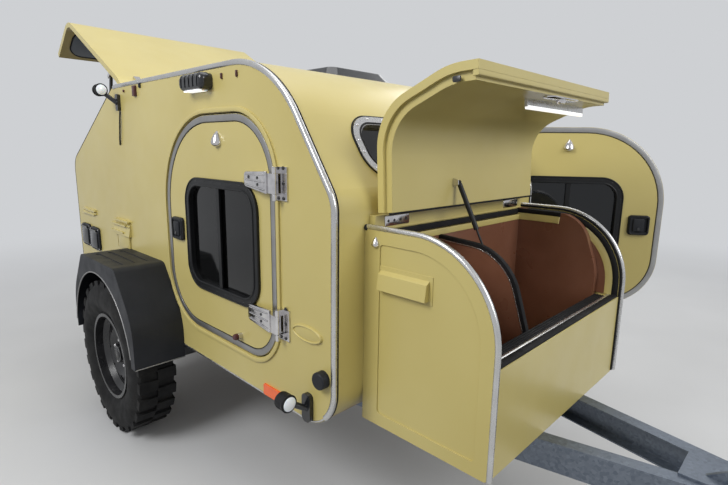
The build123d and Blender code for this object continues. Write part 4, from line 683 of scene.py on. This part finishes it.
def cabin_trims():
    """Silver moulding and rubber line along the cabin's edge, thin below and at the rear."""
    path = outline(CABIN, ARC)
    span = ARC + 1
    front = path[ARC // 2 : 3 * span + ARC // 2]
    moulding = [
        (-15, -1), (-15, 2), (-13, 4), (-5, 5), (0, 4.4), (3, 2.4), (4.5, -1), (4.5, -8), (3, -10), (-2, -10)
    ]
    rubber_line = [(-2, -9), (2.5, -9), (4, -12), (3.5, -16), (1, -18), (-2, -18)]
    silver = sweep("edge_strip_right", front, moulding, on_right, "trim_aluminium", closed=False)
    seal = sweep("edge_seal_right", front, rubber_line, on_right, "black_rubber", closed=False)
    bottom = path[5 * span :] + path[: ARC // 2 + 1]
    low = sweep(
        "bottom_strip_right", bottom, flat_bead(7, 3, middle=-5), on_right,
        "trim_aluminium", closed=False,
    )
    rear = path[3 * span + ARC // 2 : 5 * span + 1]
    dark = sweep(
        "rear_seal_right", rear, bead(7, 3, base=-2, middle=-1), on_right, "black_rubber", closed=False
    )
    on_both_walls(silver, seal, low, dark)


def door_trims():
    """Raised rim and seal on the wall, silver band on the door, and a black strip inside the band that
    paints the shade of its grooved inner edge.
    """
    path = outline(DOOR, ARC)
    rim = sweep("door_rim_right", path, bead(18, 3, base=5, middle=15.5), on_right, "body_paint")
    seal = sweep("door_seal_right", path, bead(4, 3, base=-9, middle=2.5), on_right, "black_rubber")
    band = sweep(
        "door_band_right", path, flat_bead(25, 3, middle=-13.5, round_off=2.5), on_right,
        "dull_alloy", "right_door",
    )
    # Black strip as painted shade, drawn where the band's inner edge is grooved
    groove_shade = sweep(
        "door_groove_right", path, bead(3, 1.5, base=0, middle=-28), on_right, "black_rubber", "right_door"
    )
    on_both_walls(rim, seal)
    on_both_doors(band, groove_shade)


# From a window frame's edge in to its screws, and between the screws
SCREW_INSET = 14
SCREW_SPACING = 62


def window_trims():
    """Lip, edge and screws of the door's window frame."""
    path = outline(WINDOW, ARC)
    lip = sweep(
        "window_lip_right", path, bead(9, 4, base=7, middle=-31), on_right, "frame_black", "right_door"
    )
    edge = sweep(
        "window_edge_right", path, bead(7, 4, base=7, middle=-3.5), on_right, "frame_black", "right_door"
    )
    spots = []
    screws = outline(WINDOW, 3)
    for index, (spot, normal) in enumerate(screws):
        after, after_normal = screws[(index + 1) % len(screws)]
        start = spot - normal * SCREW_INSET
        end = after - after_normal * SCREW_INSET
        count = max(1, round((end - start).length / SCREW_SPACING))
        for step in range(count):
            between = start.lerp(end, step / count)
            spots.append(on_right(between.x, between.y, 0))
    heads = lathe("window_screws_right", dome(3, 1.6, 8), spots, "dark_steel", "right_door")
    on_both_doors(lip, edge, heads)


# Each hinge: lower and upper edge of its cast cover at the pin, and at its far end
STRAPS = {"lower": (286, 371, 293, 353), "upper": (781, 858, 799, 850)}
STRAP_START, STRAP_END = -304, -467
STRAP_OUT = (33, 15)
COVER = 3.5
# Places on a cover, as shares of its height and of its length from the pin
RIB_SHARES = (0.16, 0.5, 0.84)
RIB_REACH = (0.06, 0.5, 0.9)
BOLTS = ((0.33, 0.36), (0.67, 0.36), (0.67, 0.76))
WALL_PLATE_X = -246
WALL_PLATE_OVER = 12


def strap_out(x):
    """How far the sloping strap stands out from the door."""
    return STRAP_OUT[0] + (STRAP_OUT[1] - STRAP_OUT[0]) * (x - STRAP_START) / (STRAP_END - STRAP_START)


def on_strap(x, z, out):
    return on_right(x, z, strap_out(x) + out)


def on_cover(strap, share, along):
    """The x and z of a place on a hinge's cover."""
    low, high, end_low, end_high = strap
    z = (low + (high - low) * share) * (1 - along) + (end_low + (end_high - end_low) * share) * along
    return STRAP_START + (STRAP_END - STRAP_START) * along, z


def door_hinges():
    """Cast cover with ribs and dark screw heads on each strap, and screws on the wall plates."""
    for name, strap in STRAPS.items():
        low, high, end_low, end_high = strap
        corners = (
            (STRAP_START, low, 3), (STRAP_START, high, 3),
            (STRAP_END, end_high, 17), (STRAP_END, end_low, 17),
        )
        on_both_doors(
            slab(
                f"hinge_cover_{name}_right", outline(corners, 6), -5, COVER, 2, on_strap, "chrome",
                "right_door",
            )
        )
        for index, share in enumerate(RIB_SHARES):
            spots = []
            for along in RIB_REACH:
                x, z = on_cover(strap, share, along)
                spots.append((x, -HALF - strap_out(x) - COVER, z))
            on_both_doors(tube(f"hinge_rib_{name}_{index}_right", spots, 3.4, "chrome", "right_door"))
        heads = [on_strap(*on_cover(strap, share, along), COVER) for share, along in BOLTS]
        on_both_doors(
            lathe(f"hinge_bolts_{name}_right", dome(6, 3), heads, "black_paint", "right_door", steps=14)
        )
        heights = (low - WALL_PLATE_OVER, (low + high) / 2, high + WALL_PLATE_OVER)
        heads = [on_right(WALL_PLATE_X, z, 6) for z in heights]
        on_both_walls(lathe(f"hinge_screws_{name}_right", dome(6.5, 3.5), heads, "black_paint", steps=14))


LATCH = (-1041, 570)


def door_latches():
    """Raised lip round each latch, its paddle and the lock in it."""
    x, z = LATCH
    frame_lip = sweep(
        "latch_lip_right", outline(box_corners(x, z, 86, 90, 12), 5), bead(8, 4, base=13), on_right,
        "frame_black", "right_door",
    )
    paddle = slab(
        "latch_paddle_right", outline(box_corners(x + 4, z + 2, 52, 66, 8), 5), 13, 21, 4, on_right,
        "black_plastic", "right_door",
    )
    lock = lathe(
        "latch_lock_right", [(7, -1), (7, 3), (5.5, 4.2), (2, 4.2), (1.4, 2.4)],
        [on_right(x + 4, z - 19, 20)], "dark_steel", "right_door", steps=18,
    )
    on_both_doors(frame_lip, paddle, lock)


# Window on the front slope: its width, height and corner radius, and the slope's directions
FRONT_WINDOW = (890, 256, 105)
SLOPE_OUT, SLOPE_UP = (460, 0, 315), (-315, 0, 460)
FRONT_SCREWS = (-260, -130, 0, 130, 260)


def front_window():
    """Rubber inside the frame, a bead round it, and its screws."""
    width, height, radius = FRONT_WINDOW
    where = face_of("front_window_frame", SLOPE_OUT, SLOPE_UP)
    path = outline(box_corners(0, 0, width, height, radius), ARC)
    sweep("front_window_rubber", path, bead(9, 4, base=-2, middle=-31), where, "black_rubber")
    sweep("front_window_bead", path, bead(5, 3, base=-6, middle=2), where, "black_rubber")
    corners = outline(box_corners(0, 0, width, height, radius), 2)
    spots = [spot - normal * SCREW_INSET for spot, normal in corners]
    rise = height / 2 - SCREW_INSET
    for x in FRONT_SCREWS:
        spots += [Vector((x, rise)), Vector((x, -rise))]
    lathe(
        "front_window_screws", dome(4.5, 2), [where(spot.x, spot.y, 0) for spot in spots],
        "chrome", axis=Vector(SLOPE_OUT).normalized(),
    )


# Edge of the box's side wall, the rim inside it and the lining, as corners of x, z and radius
BOX_EDGE = ((9, 686, 0), (488, 686, 286), (488, 24, 0))
BOX_RIM = ((28, 686, 0), (488, 686, 286), (488, 352, 0))
BOX_LINING = ((431, 352, 4), (431, 629, 228), (60, 629, 4), (60, 352, 4))
RIM_RADIUS, RIM_MIDDLE = 9, 5
# For this share of their path the gasket and lip sit on the liner, and then on the wall, clear
# of the shut lid
LINER_SHARE = 0.14
DIVIDER = ((40, 624, 0), (320, 606, 200), (401, 355, 60), (407, 325, 0))
# The sill on the box's front edge, its ribs' first x and spacing, and half lengths along y
SILL = 348
SILL_RIB_START, SILL_RIB_SPACING = 407, 10
SILL_HALF, INNER_HALF = 497, 461


def stepped(on_liner, on_wall):
    """An out for sweep() that changes where the liner ends."""
    return lambda share: on_liner if share < LINER_SHARE else on_wall


def box_rims():
    """Silver tube on the box's edge and its rubber, with gasket, painted lip and lining inside."""
    edge = route(BOX_EDGE)
    section = []
    for step in range(16):
        turn = step * pi / 8
        section.append((RIM_MIDDLE + RIM_RADIUS * cos(turn), RIM_RADIUS * sin(turn) - RIM_MIDDLE))
    rim = sweep("box_rim_right", edge, section, on_box, "trim_aluminium", closed=False)
    line = sweep(
        "box_rim_line_right", edge, [(-3, -11), (4, -11), (5.5, -13), (5.5, -22), (4, -24), (-3, -24)],
        on_box, "black_rubber", closed=False,
    )
    cap = tube("box_rim_end_right", [(1.5, -514, 688), (10, -514, 688)], 10, "black_plastic", steps=16)
    gasket_section = [
        (-7, -20), (-7, stepped(-56, -26)), (-10, stepped(-60, -28.5)), (-24, stepped(-61, -29)),
        (-29, stepped(-58, -27)), (-29, -20),
    ]
    lip_section = [
        (-28, -20), (-28, stepped(-58.5, -25)), (-31, stepped(-60, -27)), (-58, stepped(-60, -27)),
        (-58, -20),
    ]
    inner = route(BOX_RIM)
    gasket = sweep("box_gasket_right", inner, gasket_section, on_box, "black_rubber", closed=False)
    lip = sweep("box_lip_right", inner, lip_section, on_box, "body_paint", closed=False)
    lining = slab("box_side_lining_right", outline(BOX_LINING, ARC), -20, -26, -1, on_box, "box_lining")
    on_both_walls(rim, line, cap, gasket, lip, lining)


def box_inside():
    """Rear rail, sill and divider trim of the nose box."""
    bar("box_rail_rubber", strip((27, 653), (36, 675), 1, 3), -492, 492, "black_rubber")
    bar("box_rail_drip", strip((26, 677), (31, 684), 1, 2), -SILL_HALF, SILL_HALF, "body_paint")
    bar("box_rear_lip", strip((39, 627), (43, 651), 0.5, 1.5), -INNER_HALF, INNER_HALF, "body_paint")
    for index in range(4):
        rib = bead(9.4, 4, base=SILL, middle=SILL_RIB_START + SILL_RIB_SPACING * index)
        bar(f"sill_rib_{index}", rib, -INNER_HALF, INNER_HALF, "black_rubber")
    silver = flat_bead(13, 5, base=SILL, middle=450)
    bar("sill_silver", silver, -SILL_HALF, SILL_HALF, "trim_aluminium")
    bar("sill_gasket", bead(26, 8, base=SILL, middle=471), -SILL_HALF, SILL_HALF, "black_rubber")
    edge = route(DIVIDER)
    rubber_section = [(-9, -164.5), (3, -164.5), (5, -161), (5, -149), (3, -145.5), (-9, -145.5)]
    sweep("divider_trim", edge, rubber_section, on_divider, "black_rubber", closed=False)
    for side, y in (("right", -145.4), ("left", -166.1)):
        line_section = [(-13, y), (-10, y), (-10, y + 1.5), (-13, y + 1.5)]
        sweep(f"divider_line_{side}", edge, line_section, on_divider, "trim_aluminium", closed=False)


# Inner face of the shut lid's front wall, the side that carries the catch, and the lock's y and z
LID_FRONT = 399
LID_SIDE = 488
LOCK = (110, 400)


def lid_pieces():
    """Seal, lamp, lock plate, catch and flange inside the nose box's lid, as they lie with it shut."""
    made = (
        bar("lid_back_seal", strip((33, 681), (40, 692), 2, 1), -484, 484, "black_rubber", "box_lid"),
        bar("lid_lamp", strip((362, 452), (374, 466), 3, 1), -28, 446, "led_white", "box_lid"),
        bar("lid_lamp_base", strip((370, 454), (402, 464), 1), -36, 454, "trim_aluminium", "box_lid"),
        slab(
            "lid_lock_plate", outline(box_corners(*LOCK, 230, 44, 21), 8), -1, 4, 1.5,
            facing(LID_FRONT, -1), "chrome", "box_lid",
        ),
        lathe(
            "lid_lock_knob", [(15, -1), (15, 9), (12, 13), (3, 14)], [at(LID_FRONT - 3, *LOCK)], "chrome",
            "box_lid", axis=Vector((-1, 0, 0)), steps=20,
        ),
        slab(
            "lid_catch", outline(box_corners(408, 433, 16, 26, 5), 4), -1, 3, 1,
            lambda x, z, out: at(x, -LID_SIDE - out, z), "dark_steel", "box_lid",
        ),
        bar(
            "lid_front_flange", rounded(((409, 366.5, 4), (426, 366.5, 1), (426, 384, 1), (409, 384, 1))),
            -487, 487, "body_paint", "box_lid",
        ),
    )
    for each in made:
        each.data.transform(LID_TURN)


# Middle of each leaf on the rail: face x, y to either side and z, and its screws along y
LID_LEAF = (27, 392, 704)
LID_LEAF_SCREWS = (-46, -16, 16, 46)


def lid_hinges():
    """Chrome leaves of the lid's hinges on the box's rail."""
    face, offset, z = LID_LEAF
    for side, y in (("right", -offset), ("left", offset)):
        leaf = outline(box_corners(y, z, 126, 34, 5), 5)
        slab(f"lid_hinge_leaf_{side}", leaf, -1, 3, 1, facing(face), "chrome")
        heads = [at(face + 3, y + along, z) for along in LID_LEAF_SCREWS]
        lathe(f"lid_hinge_screws_{side}", dome(5, 2), heads, "black_paint", axis=Vector((1, 0, 0)))


# Window of the hatch, as it lies with the hatch shut: inner face x, middle z, width, height, radius
HATCH_PANE = (-2478, 678, 1130, 228, 80)
HATCH_THICK = 28


def hatch_window():
    """Dark blue pane over the hatch's window, inside and out, with its rubber."""
    face, middle, width, height, radius = HATCH_PANE
    path = outline(box_corners(0, middle, width, height, radius), ARC)
    for name, where in (("inner", facing(face)), ("outer", facing(face - HATCH_THICK, -1))):
        pane = slab(f"hatch_pane_{name}", path, -0.5, 3, 1, where, "blue_glass", "rear_hatch")
        seal = sweep(
            f"hatch_seal_{name}", path, bead(9, 4, base=1, middle=2), where, "black_rubber", "rear_hatch"
        )
        for made in (pane, seal):
            made.data.transform(HATCH_TURN)


# Ribs over the porch lamp: first x, spacing, how many, and their line as (out, z)
PORCH_RIBS = (-846, 32, 5)
PORCH_RIB_LINE = ((8, 1213), (38, 1211), (52, 1204), (54, 1192), (53, 1160))
# Lamps on arms: x and z, their y, and the ridges round their bodies as (radius, height)
ARM_LAMPS = {"rear": (-1680, 1208), "front": (-158, 95)}
ARM_LAMP_Y = -730
RIDGES = [(28.8 if step % 2 else 30.2, 3 * step - 16) for step in range(10)]
# Each lamp's pieces: name, which way it faces along x, profile of (radius, height), slot
ARM_LAMP_PIECES = (
    ("ring", 1, ((27, 19), (30.5, 19), (31.5, 22), (30, 25), (26, 25.5)), "black_rubber"),
    ("glass", 1, ((25, 21), (24, 26.5), (18, 30), (9, 32), (2, 32.4)), "lamp_lens"),
    ("red", -1, ((25, 21), (24, 25), (18, 28), (9, 29.5), (2, 30)), "red_lens"),
    ("body", 1, ((28.6, -19), *RIDGES, (29.6, 18)), "black_rubber"),
)


def porch_lamps():
    """Ribs and lit strip of the lamp over each door."""
    start, spacing, count = PORCH_RIBS
    made = []
    for index in range(count):
        x = start + spacing * index
        line = [(x, -HALF - out, z) for out, z in PORCH_RIB_LINE]
        made.append(tube(f"porch_rib_{index}_right", line, 1.6, "gloss_black"))
    light = strip((-842, 1145), (-722, 1150), 2)
    made.append(bar("porch_led_right", light, -HALF - 8, -HALF - 44, "led_white"))
    on_both_walls(*made)


def arm_lamps():
    """Ribbed bodies, rings and lenses of the lamps on arms."""
    made = []
    for name, (x, z) in ARM_LAMPS.items():
        for part, way, profile, slot in ARM_LAMP_PIECES:
            made.append(
                lathe(
                    f"arm_lamp_{name}_{part}_right", profile, [at(x, ARM_LAMP_Y, z)], slot,
                    axis=Vector((way, 0, 0)), steps=28,
                )
            )
    on_both_walls(*made)


# Clips on the right wall under the roof's edge: middle x, z, width, height, how proud, slot
CLIPS = (
    (-1432, 1194, 30, 50, 13, "dark_red"),
    (-1372, 1215, 16, 22, 8, "black_plastic"),
    (-1575, 1203, 12, 14, 7, "dark_red"),
    (-621, 1193, 9, 22, 7, "dark_red"),
    (-517, 1193, 9, 24, 7, "dark_red"),
)


# Middle x and z of the two sockets
SOCKETS = ((-2354, 368), (-2194, 362))
# Louvres: middle x, z, length, how proud
LOUVRES = (
    (-1720, 528, 204, 20),
    (-1763, 504, 214, 20),
    (-1790, 463, 188, 20),
    (-2245, 532, 168, 13),
    (-2290, 511, 228, 13),
)
CONDUIT = (
    (-1637, -655, 1106), (-1640, -657, 1075), (-1652, -657, 1020), (-1666, -656, 965), (-1674, -654, 936)
)
# Oval plate: middle x and z, half length, half height
OVAL = (-134, 322, 77, 29)
OVAL_STEPS = 48


def sockets():
    """Cover, hinge and screws of each socket."""
    for index, (x, z) in enumerate(SOCKETS):
        slab(
            f"socket_cover_{index}", outline(box_corners(x, z - 4, 118, 104, 12), 5), 13, 21, 4, on_right,
            "gloss_black",
        )
        hinge = strip((x - 52, z + 48), (x + 52, z + 58), 3)
        bar(f"socket_hinge_{index}", hinge, -HALF - 13, -HALF - 24, "gloss_black")
        heads = [on_right(x + dx, z + dz, 14) for dx in (-66, 66) for dz in (-60, 60)]
        lathe(f"socket_screws_{index}", dome(4, 2), heads, "chrome")


def vents():
    """Louvres over the vents, and the box below them."""
    for index, (x, z, length, proud) in enumerate(LOUVRES):
        slat = strip((x - length / 2, z - 5), (x + length / 2, z + 5), 3)
        bar(f"louvre_{index}", slat, -HALF, -HALF - proud, "body_paint")
    slab("vent_box", outline(box_corners(-1722, 410, 160, 82, 5), 5), -1, 9, 3, on_right, "body_paint")


def oval_plate():
    """Painted oval plate with a raised rim."""
    x, z, length, height = OVAL
    path = []
    for step in range(OVAL_STEPS):
        turn = 2 * pi * step / OVAL_STEPS
        spoke = Vector((cos(turn) / length, sin(turn) / height)).normalized()
        path.append((Vector((length * cos(turn) + x, height * sin(turn) + z)), spoke))
    slab("oval_plate", path, -1, 4, 1.5, on_right, "body_paint")
    sweep("oval_plate_edge", path, bead(7, 5, base=3, middle=-4), on_right, "body_paint")


def side_details():
    """Awning clips, the lamp's conduit, sockets, vents, the oval plate and the door's stop."""
    for index, (x, z, width, height, proud, slot) in enumerate(CLIPS):
        shape = outline(box_corners(x, z, width, height, 4), 4)
        slab(f"awning_clip_{index}", shape, -1, proud, 3, on_right, slot)
    tube("lamp_conduit", CONDUIT, 4, "black_rubber")
    sockets()
    vents()
    oval_plate()
    lathe(
        "door_stop_rubber_right", [(11, 12), (13, 18), (13, 28), (10, 34.5), (3, 35)],
        [on_right(-550, 196, 0)], "dark_red", steps=18,
    )


# Arch in the fender: middle x and z, radius, and its bead's y, start and sweep in degrees, steps
ARCH = (-1490, -72, 386)
ARCH_Y = -884.5
ARCH_START, ARCH_SWEEP, ARCH_STEPS = 8, 164, 24
# Lower ends of the skirt: x, the y of their line's points, and z
FENDER_ENDS = {"front": -1063, "rear": -1867}
FENDER_END_LINE = (-884, -760, -652)
FENDER_END_Z = -58


def fender_details():
    """Pale edge along the arch and along the skirt's lower ends."""
    x, z, radius = ARCH
    arch = []
    for step in range(ARCH_STEPS + 1):
        turn = radians(ARCH_START + ARCH_SWEEP * step / ARCH_STEPS)
        arch.append((x + radius * cos(turn), ARCH_Y, z + radius * sin(turn)))
    on_both_walls(tube("arch_bead_right", arch, 3.4, "dull_alloy"))
    for name, x in FENDER_ENDS.items():
        low_edge = [(x, y, FENDER_END_Z) for y in FENDER_END_LINE]
        on_both_walls(tube(f"fender_end_{name}_right", low_edge, 2.6, "dull_alloy"))


# Hub's x and z, the nuts' circle, and the radii between which the disc's face is looked for
HUB_X, HUB_Z = -1465, -120
NUTS, NUT_CIRCLE = 5, 70
DISC = (55, 85)


def disc_face(side, sign):
    """The y of the wheel's outermost face round the hub."""
    wheel = NODES[f"wheel_{side}"]
    middle = at(HUB_X, 0, HUB_Z)
    near = []
    for vertex in wheel.data.vertices:
        spot = wheel.matrix_world @ vertex.co
        if DISC[0] < Vector((spot.x - middle.x, spot.z - middle.z)).length * 1000 < DISC[1]:
            near.append(spot.y * sign)
    return max(near) / MM * sign


def wheel_details():
    """Nuts and the hub's cap on each wheel."""
    for side, sign in (("right", -1), ("left", 1)):
        face = disc_face(side, sign)
        nuts = []
        for step in range(NUTS):
            turn = 2 * pi * step / NUTS + pi / 2
            nuts.append(at(HUB_X + NUT_CIRCLE * cos(turn), face, HUB_Z + NUT_CIRCLE * sin(turn)))
        body = f"{side}_road_wheel"
        axis = Vector((0, sign, 0))
        lathe(
            f"wheel_nuts_{side}", [(11, -14), (11, 3), (9, 7), (5, 9.5), (1.5, 10)], nuts, "chrome", body,
            axis=axis, steps=6,
        )
        lathe(
            f"hub_cap_{side}", [(33, -16), (33, 12), (31, 18), (26, 22), (10, 24), (2, 24)],
            [at(HUB_X, face, HUB_Z)], "black_paint", body, axis=axis, steps=32,
        )


def quilted(x, y):
    """How high the cover stands between the tufts, from 0 to 1."""
    return (abs(sin(x)) * abs(sin(y))) ** 0.55


# Mattress: grid of its cover, tufts across and along, and rings down its sides
PAD_GRID = (120, 84)
PAD_TUFTS = (7, 5)
PAD_RINGS = 9
# In metres: how far the cover lies inside the pad's box, how high it swells, how wide and deep
# its edge rounds off
PAD_INSET = 0.012
PAD_SWELL = 0.010
PAD_ROUND = 0.05
PAD_DROP = 0.01
# How much of the inset its sides bulge back out
PAD_BULGE = 0.8


def pad_sheet(middle, half, sign):
    """Points of the quilted top or base."""
    columns, rows = PAD_GRID
    points = []
    for row in range(rows + 1):
        for column in range(columns + 1):
            across, along = 2 * column / columns - 1, 2 * row / rows - 1
            near_edge = min(1 - abs(across), (1 - abs(along)) * half.y / half.x) * half.x
            round_off = min(1, near_edge / PAD_ROUND)
            tufts = quilted(pi * PAD_TUFTS[0] * (across + 1) / 2, pi * PAD_TUFTS[1] * (along + 1) / 2)
            height = half.z - PAD_INSET + PAD_SWELL * tufts * round_off - PAD_DROP * (1 - round_off) ** 2
            x = middle.x + across * (half.x - PAD_INSET)
            y = middle.y + along * (half.y - PAD_INSET)
            points.append(Vector((x, y, middle.z + sign * height)))
    return points


def pad_ring():
    """Places of a sheet's edge points, once round."""
    columns, rows = PAD_GRID
    ring = [(column, 0) for column in range(columns)]
    ring += [(columns, row) for row in range(rows)]
    ring += [(column, rows) for column in range(columns, 0, -1)]
    ring += [(0, row) for row in range(rows, 0, -1)]
    return [row * (columns + 1) + column for column, row in ring]


def bulge_way(spot, middle, half):
    """Direction out of each side that a place lies on."""
    ways = []
    for axis in range(2):
        away = spot[axis] - middle[axis]
        ways.append(copysign(1, away) if abs(away) > half[axis] - PAD_INSET - 1e-6 else 0)
    return Vector((*ways, 0)).normalized()


def mattress():
    """Padded mattress: a quilted top and base, bulging sides and piping along both edges."""
    low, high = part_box("mattress")
    half, middle = (high - low) / 2, (high + low) / 2
    columns, rows = PAD_GRID
    top = pad_sheet(middle, half, 1)
    points = top + pad_sheet(middle, half, -1)
    faces = []
    for start in (0, len(top)):
        faces += grid_faces(rows + 1, columns + 1, False, False, start)
    first = pad_ring()
    last = [len(top) + index for index in first]
    rings = [first]
    for level in range(1, PAD_RINGS):
        share = level / PAD_RINGS
        made = []
        for upper, lower in zip(first, last):
            spot = points[upper].lerp(points[lower], share)
            way = bulge_way(spot, middle, half)
            made.append(len(points))
            points.append(spot + way * PAD_INSET * PAD_BULGE * sin(pi * share) ** 0.6)
        rings.append(made)
    rings.append(last)
    for above, below in zip(rings, rings[1:]):
        for index in range(len(first)):
            after = (index + 1) % len(first)
            faces.append((above[index], above[after], below[after], below[index]))
    pad = piece("mattress_pad", points, faces, "mattress_cloth", "trailer")
    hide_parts("mattress")
    for name, edge in (("top", first), ("base", last)):
        spots = [(points[index] - CORNER) / MM for index in edge]
        tube(f"mattress_piping_{name}", [*spots, spots[0]], 4, "mattress_cloth")


# Stage and light, in metres. The floor fades out between the two distances.
BACKDROP = srgb(206, 208, 211)
FLOOR_TONES = ((198, 199, 200), (204, 205, 206))
FLOOR_BOUNCE = srgb(96, 96, 98)
FADE_START, FADE_END = 2.6, 8.0
WORLD_LIGHT = 0.5


def any_ray(tree):
    """1 for what the camera sees, straight or through metal and glass, else 0."""
    rays = tree.nodes.new("ShaderNodeLightPath")
    found = rays.outputs["Is Camera Ray"]
    for name in ("Is Glossy Ray", "Is Transmission Ray"):
        either = tree.nodes.new("ShaderNodeMath")
        either.operation = "MAXIMUM"
        tree.links.new(found, either.inputs[0])
        tree.links.new(rays.outputs[name], either.inputs[1])
        found = either.outputs[0]
    return found


def make_stage():
    """Pale floor that keeps the shadow and fades into the backdrop far out."""
    finish = Finish("floor", FLOOR_TONES[0], 0.85)
    seen = any_ray(finish.tree)
    tone = finish.ramp(finish.noise(0.8), ((0.35, FLOOR_TONES[0]), (0.65, FLOOR_TONES[1])))
    # A Mix node's colours are its inputs 6 and 7 and its output 2
    mix = finish.node("ShaderNodeMix", data_type="RGBA")
    mix.inputs[6].default_value = FLOOR_BOUNCE
    finish.link(seen, mix.inputs["Factor"])
    finish.link(tone, mix.inputs[7])
    finish.link(mix.outputs[2], finish.shader.inputs["Base Color"])
    reach = finish.node("ShaderNodeVectorMath", operation="LENGTH")
    finish.link(finish.place, reach.inputs[0])
    fade = finish.node("ShaderNodeMapRange", interpolation_type="SMOOTHSTEP")
    fill(fade, From_Min=FADE_START, From_Max=FADE_END)
    finish.link(reach.outputs["Value"], fade.inputs["Value"])
    share = finish.node("ShaderNodeMath", operation="MULTIPLY")
    finish.link(fade.outputs["Result"], share.inputs[0])
    finish.link(seen, share.inputs[1])
    glow = finish.node("ShaderNodeEmission")
    fill(glow, Color=BACKDROP)
    blend = finish.node("ShaderNodeMixShader")
    finish.link(share.outputs[0], blend.inputs[0])
    finish.link(finish.shader.outputs["BSDF"], blend.inputs[1])
    finish.link(glow.outputs[0], blend.inputs[2])
    finish.link(blend.outputs[0], finish.output.inputs["Surface"])
    bpy.ops.mesh.primitive_plane_add(size=80, location=(CORNER.x, 0, GROUND))
    floor = bpy.context.object
    floor.name = "floor"
    floor.data.materials.append(finish.material)


def make_world():
    """Soft white light on the object, and the backdrop's tone where it is seen."""
    world = bpy.data.worlds.new("studio")
    bpy.context.scene.world = world
    world.use_nodes = True
    tree = world.node_tree
    tree.nodes.clear()
    soft = tree.nodes.new("ShaderNodeBackground")
    fill(soft, Color=(1, 1, 1, 1), Strength=WORLD_LIGHT)
    backdrop = tree.nodes.new("ShaderNodeBackground")
    fill(backdrop, Color=BACKDROP, Strength=1)
    mix = tree.nodes.new("ShaderNodeMixShader")
    output = tree.nodes.new("ShaderNodeOutputWorld")
    tree.links.new(any_ray(tree), mix.inputs[0])
    tree.links.new(soft.outputs[0], mix.inputs[1])
    tree.links.new(backdrop.outputs[0], mix.inputs[2])
    tree.links.new(mix.outputs[0], output.inputs["Surface"])


def lamp(name, place, target, size, watts):
    data = bpy.data.lights.new(name, "AREA")
    data.shape = "DISK"
    data.size = size
    data.energy = watts
    made = bpy.data.objects.new(name, data)
    direction = Vector(target) - Vector(place)
    made.location = place
    made.rotation_euler = direction.to_track_quat("-Z", "Y").to_euler()
    made.visible_camera = False
    bpy.context.scene.collection.objects.link(made)


# Lamps: name, place, what it points at, size, watts
LIT = (CORNER.x - 0.9, 0, 0.5)
LAMPS = (
    ("overhead", (CORNER.x - 1.2, 0.4, 5.2), (CORNER.x - 1.2, 0, 0.5), 4.0, 60),
    ("front", (3.4, 0.6, 3.4), LIT, 3.0, 120),
    ("side", (-2.2, -4.2, 3.6), LIT, 2.4, 140),
    ("far", (-2.6, 4.4, 3.2), LIT, 3.0, 60),
)


make_camera()
dress_nodes()
cabin_trims()
door_trims()
window_trims()
door_hinges()
door_latches()
front_window()
box_rims()
box_inside()
lid_pieces()
lid_hinges()
hatch_window()
porch_lamps()
arm_lamps()
side_details()
fender_details()
wheel_details()
mattress()
make_stage()
make_world()
for settings in LAMPS:
    lamp(*settings)
bpy.context.scene.view_settings.view_transform = "Standard"
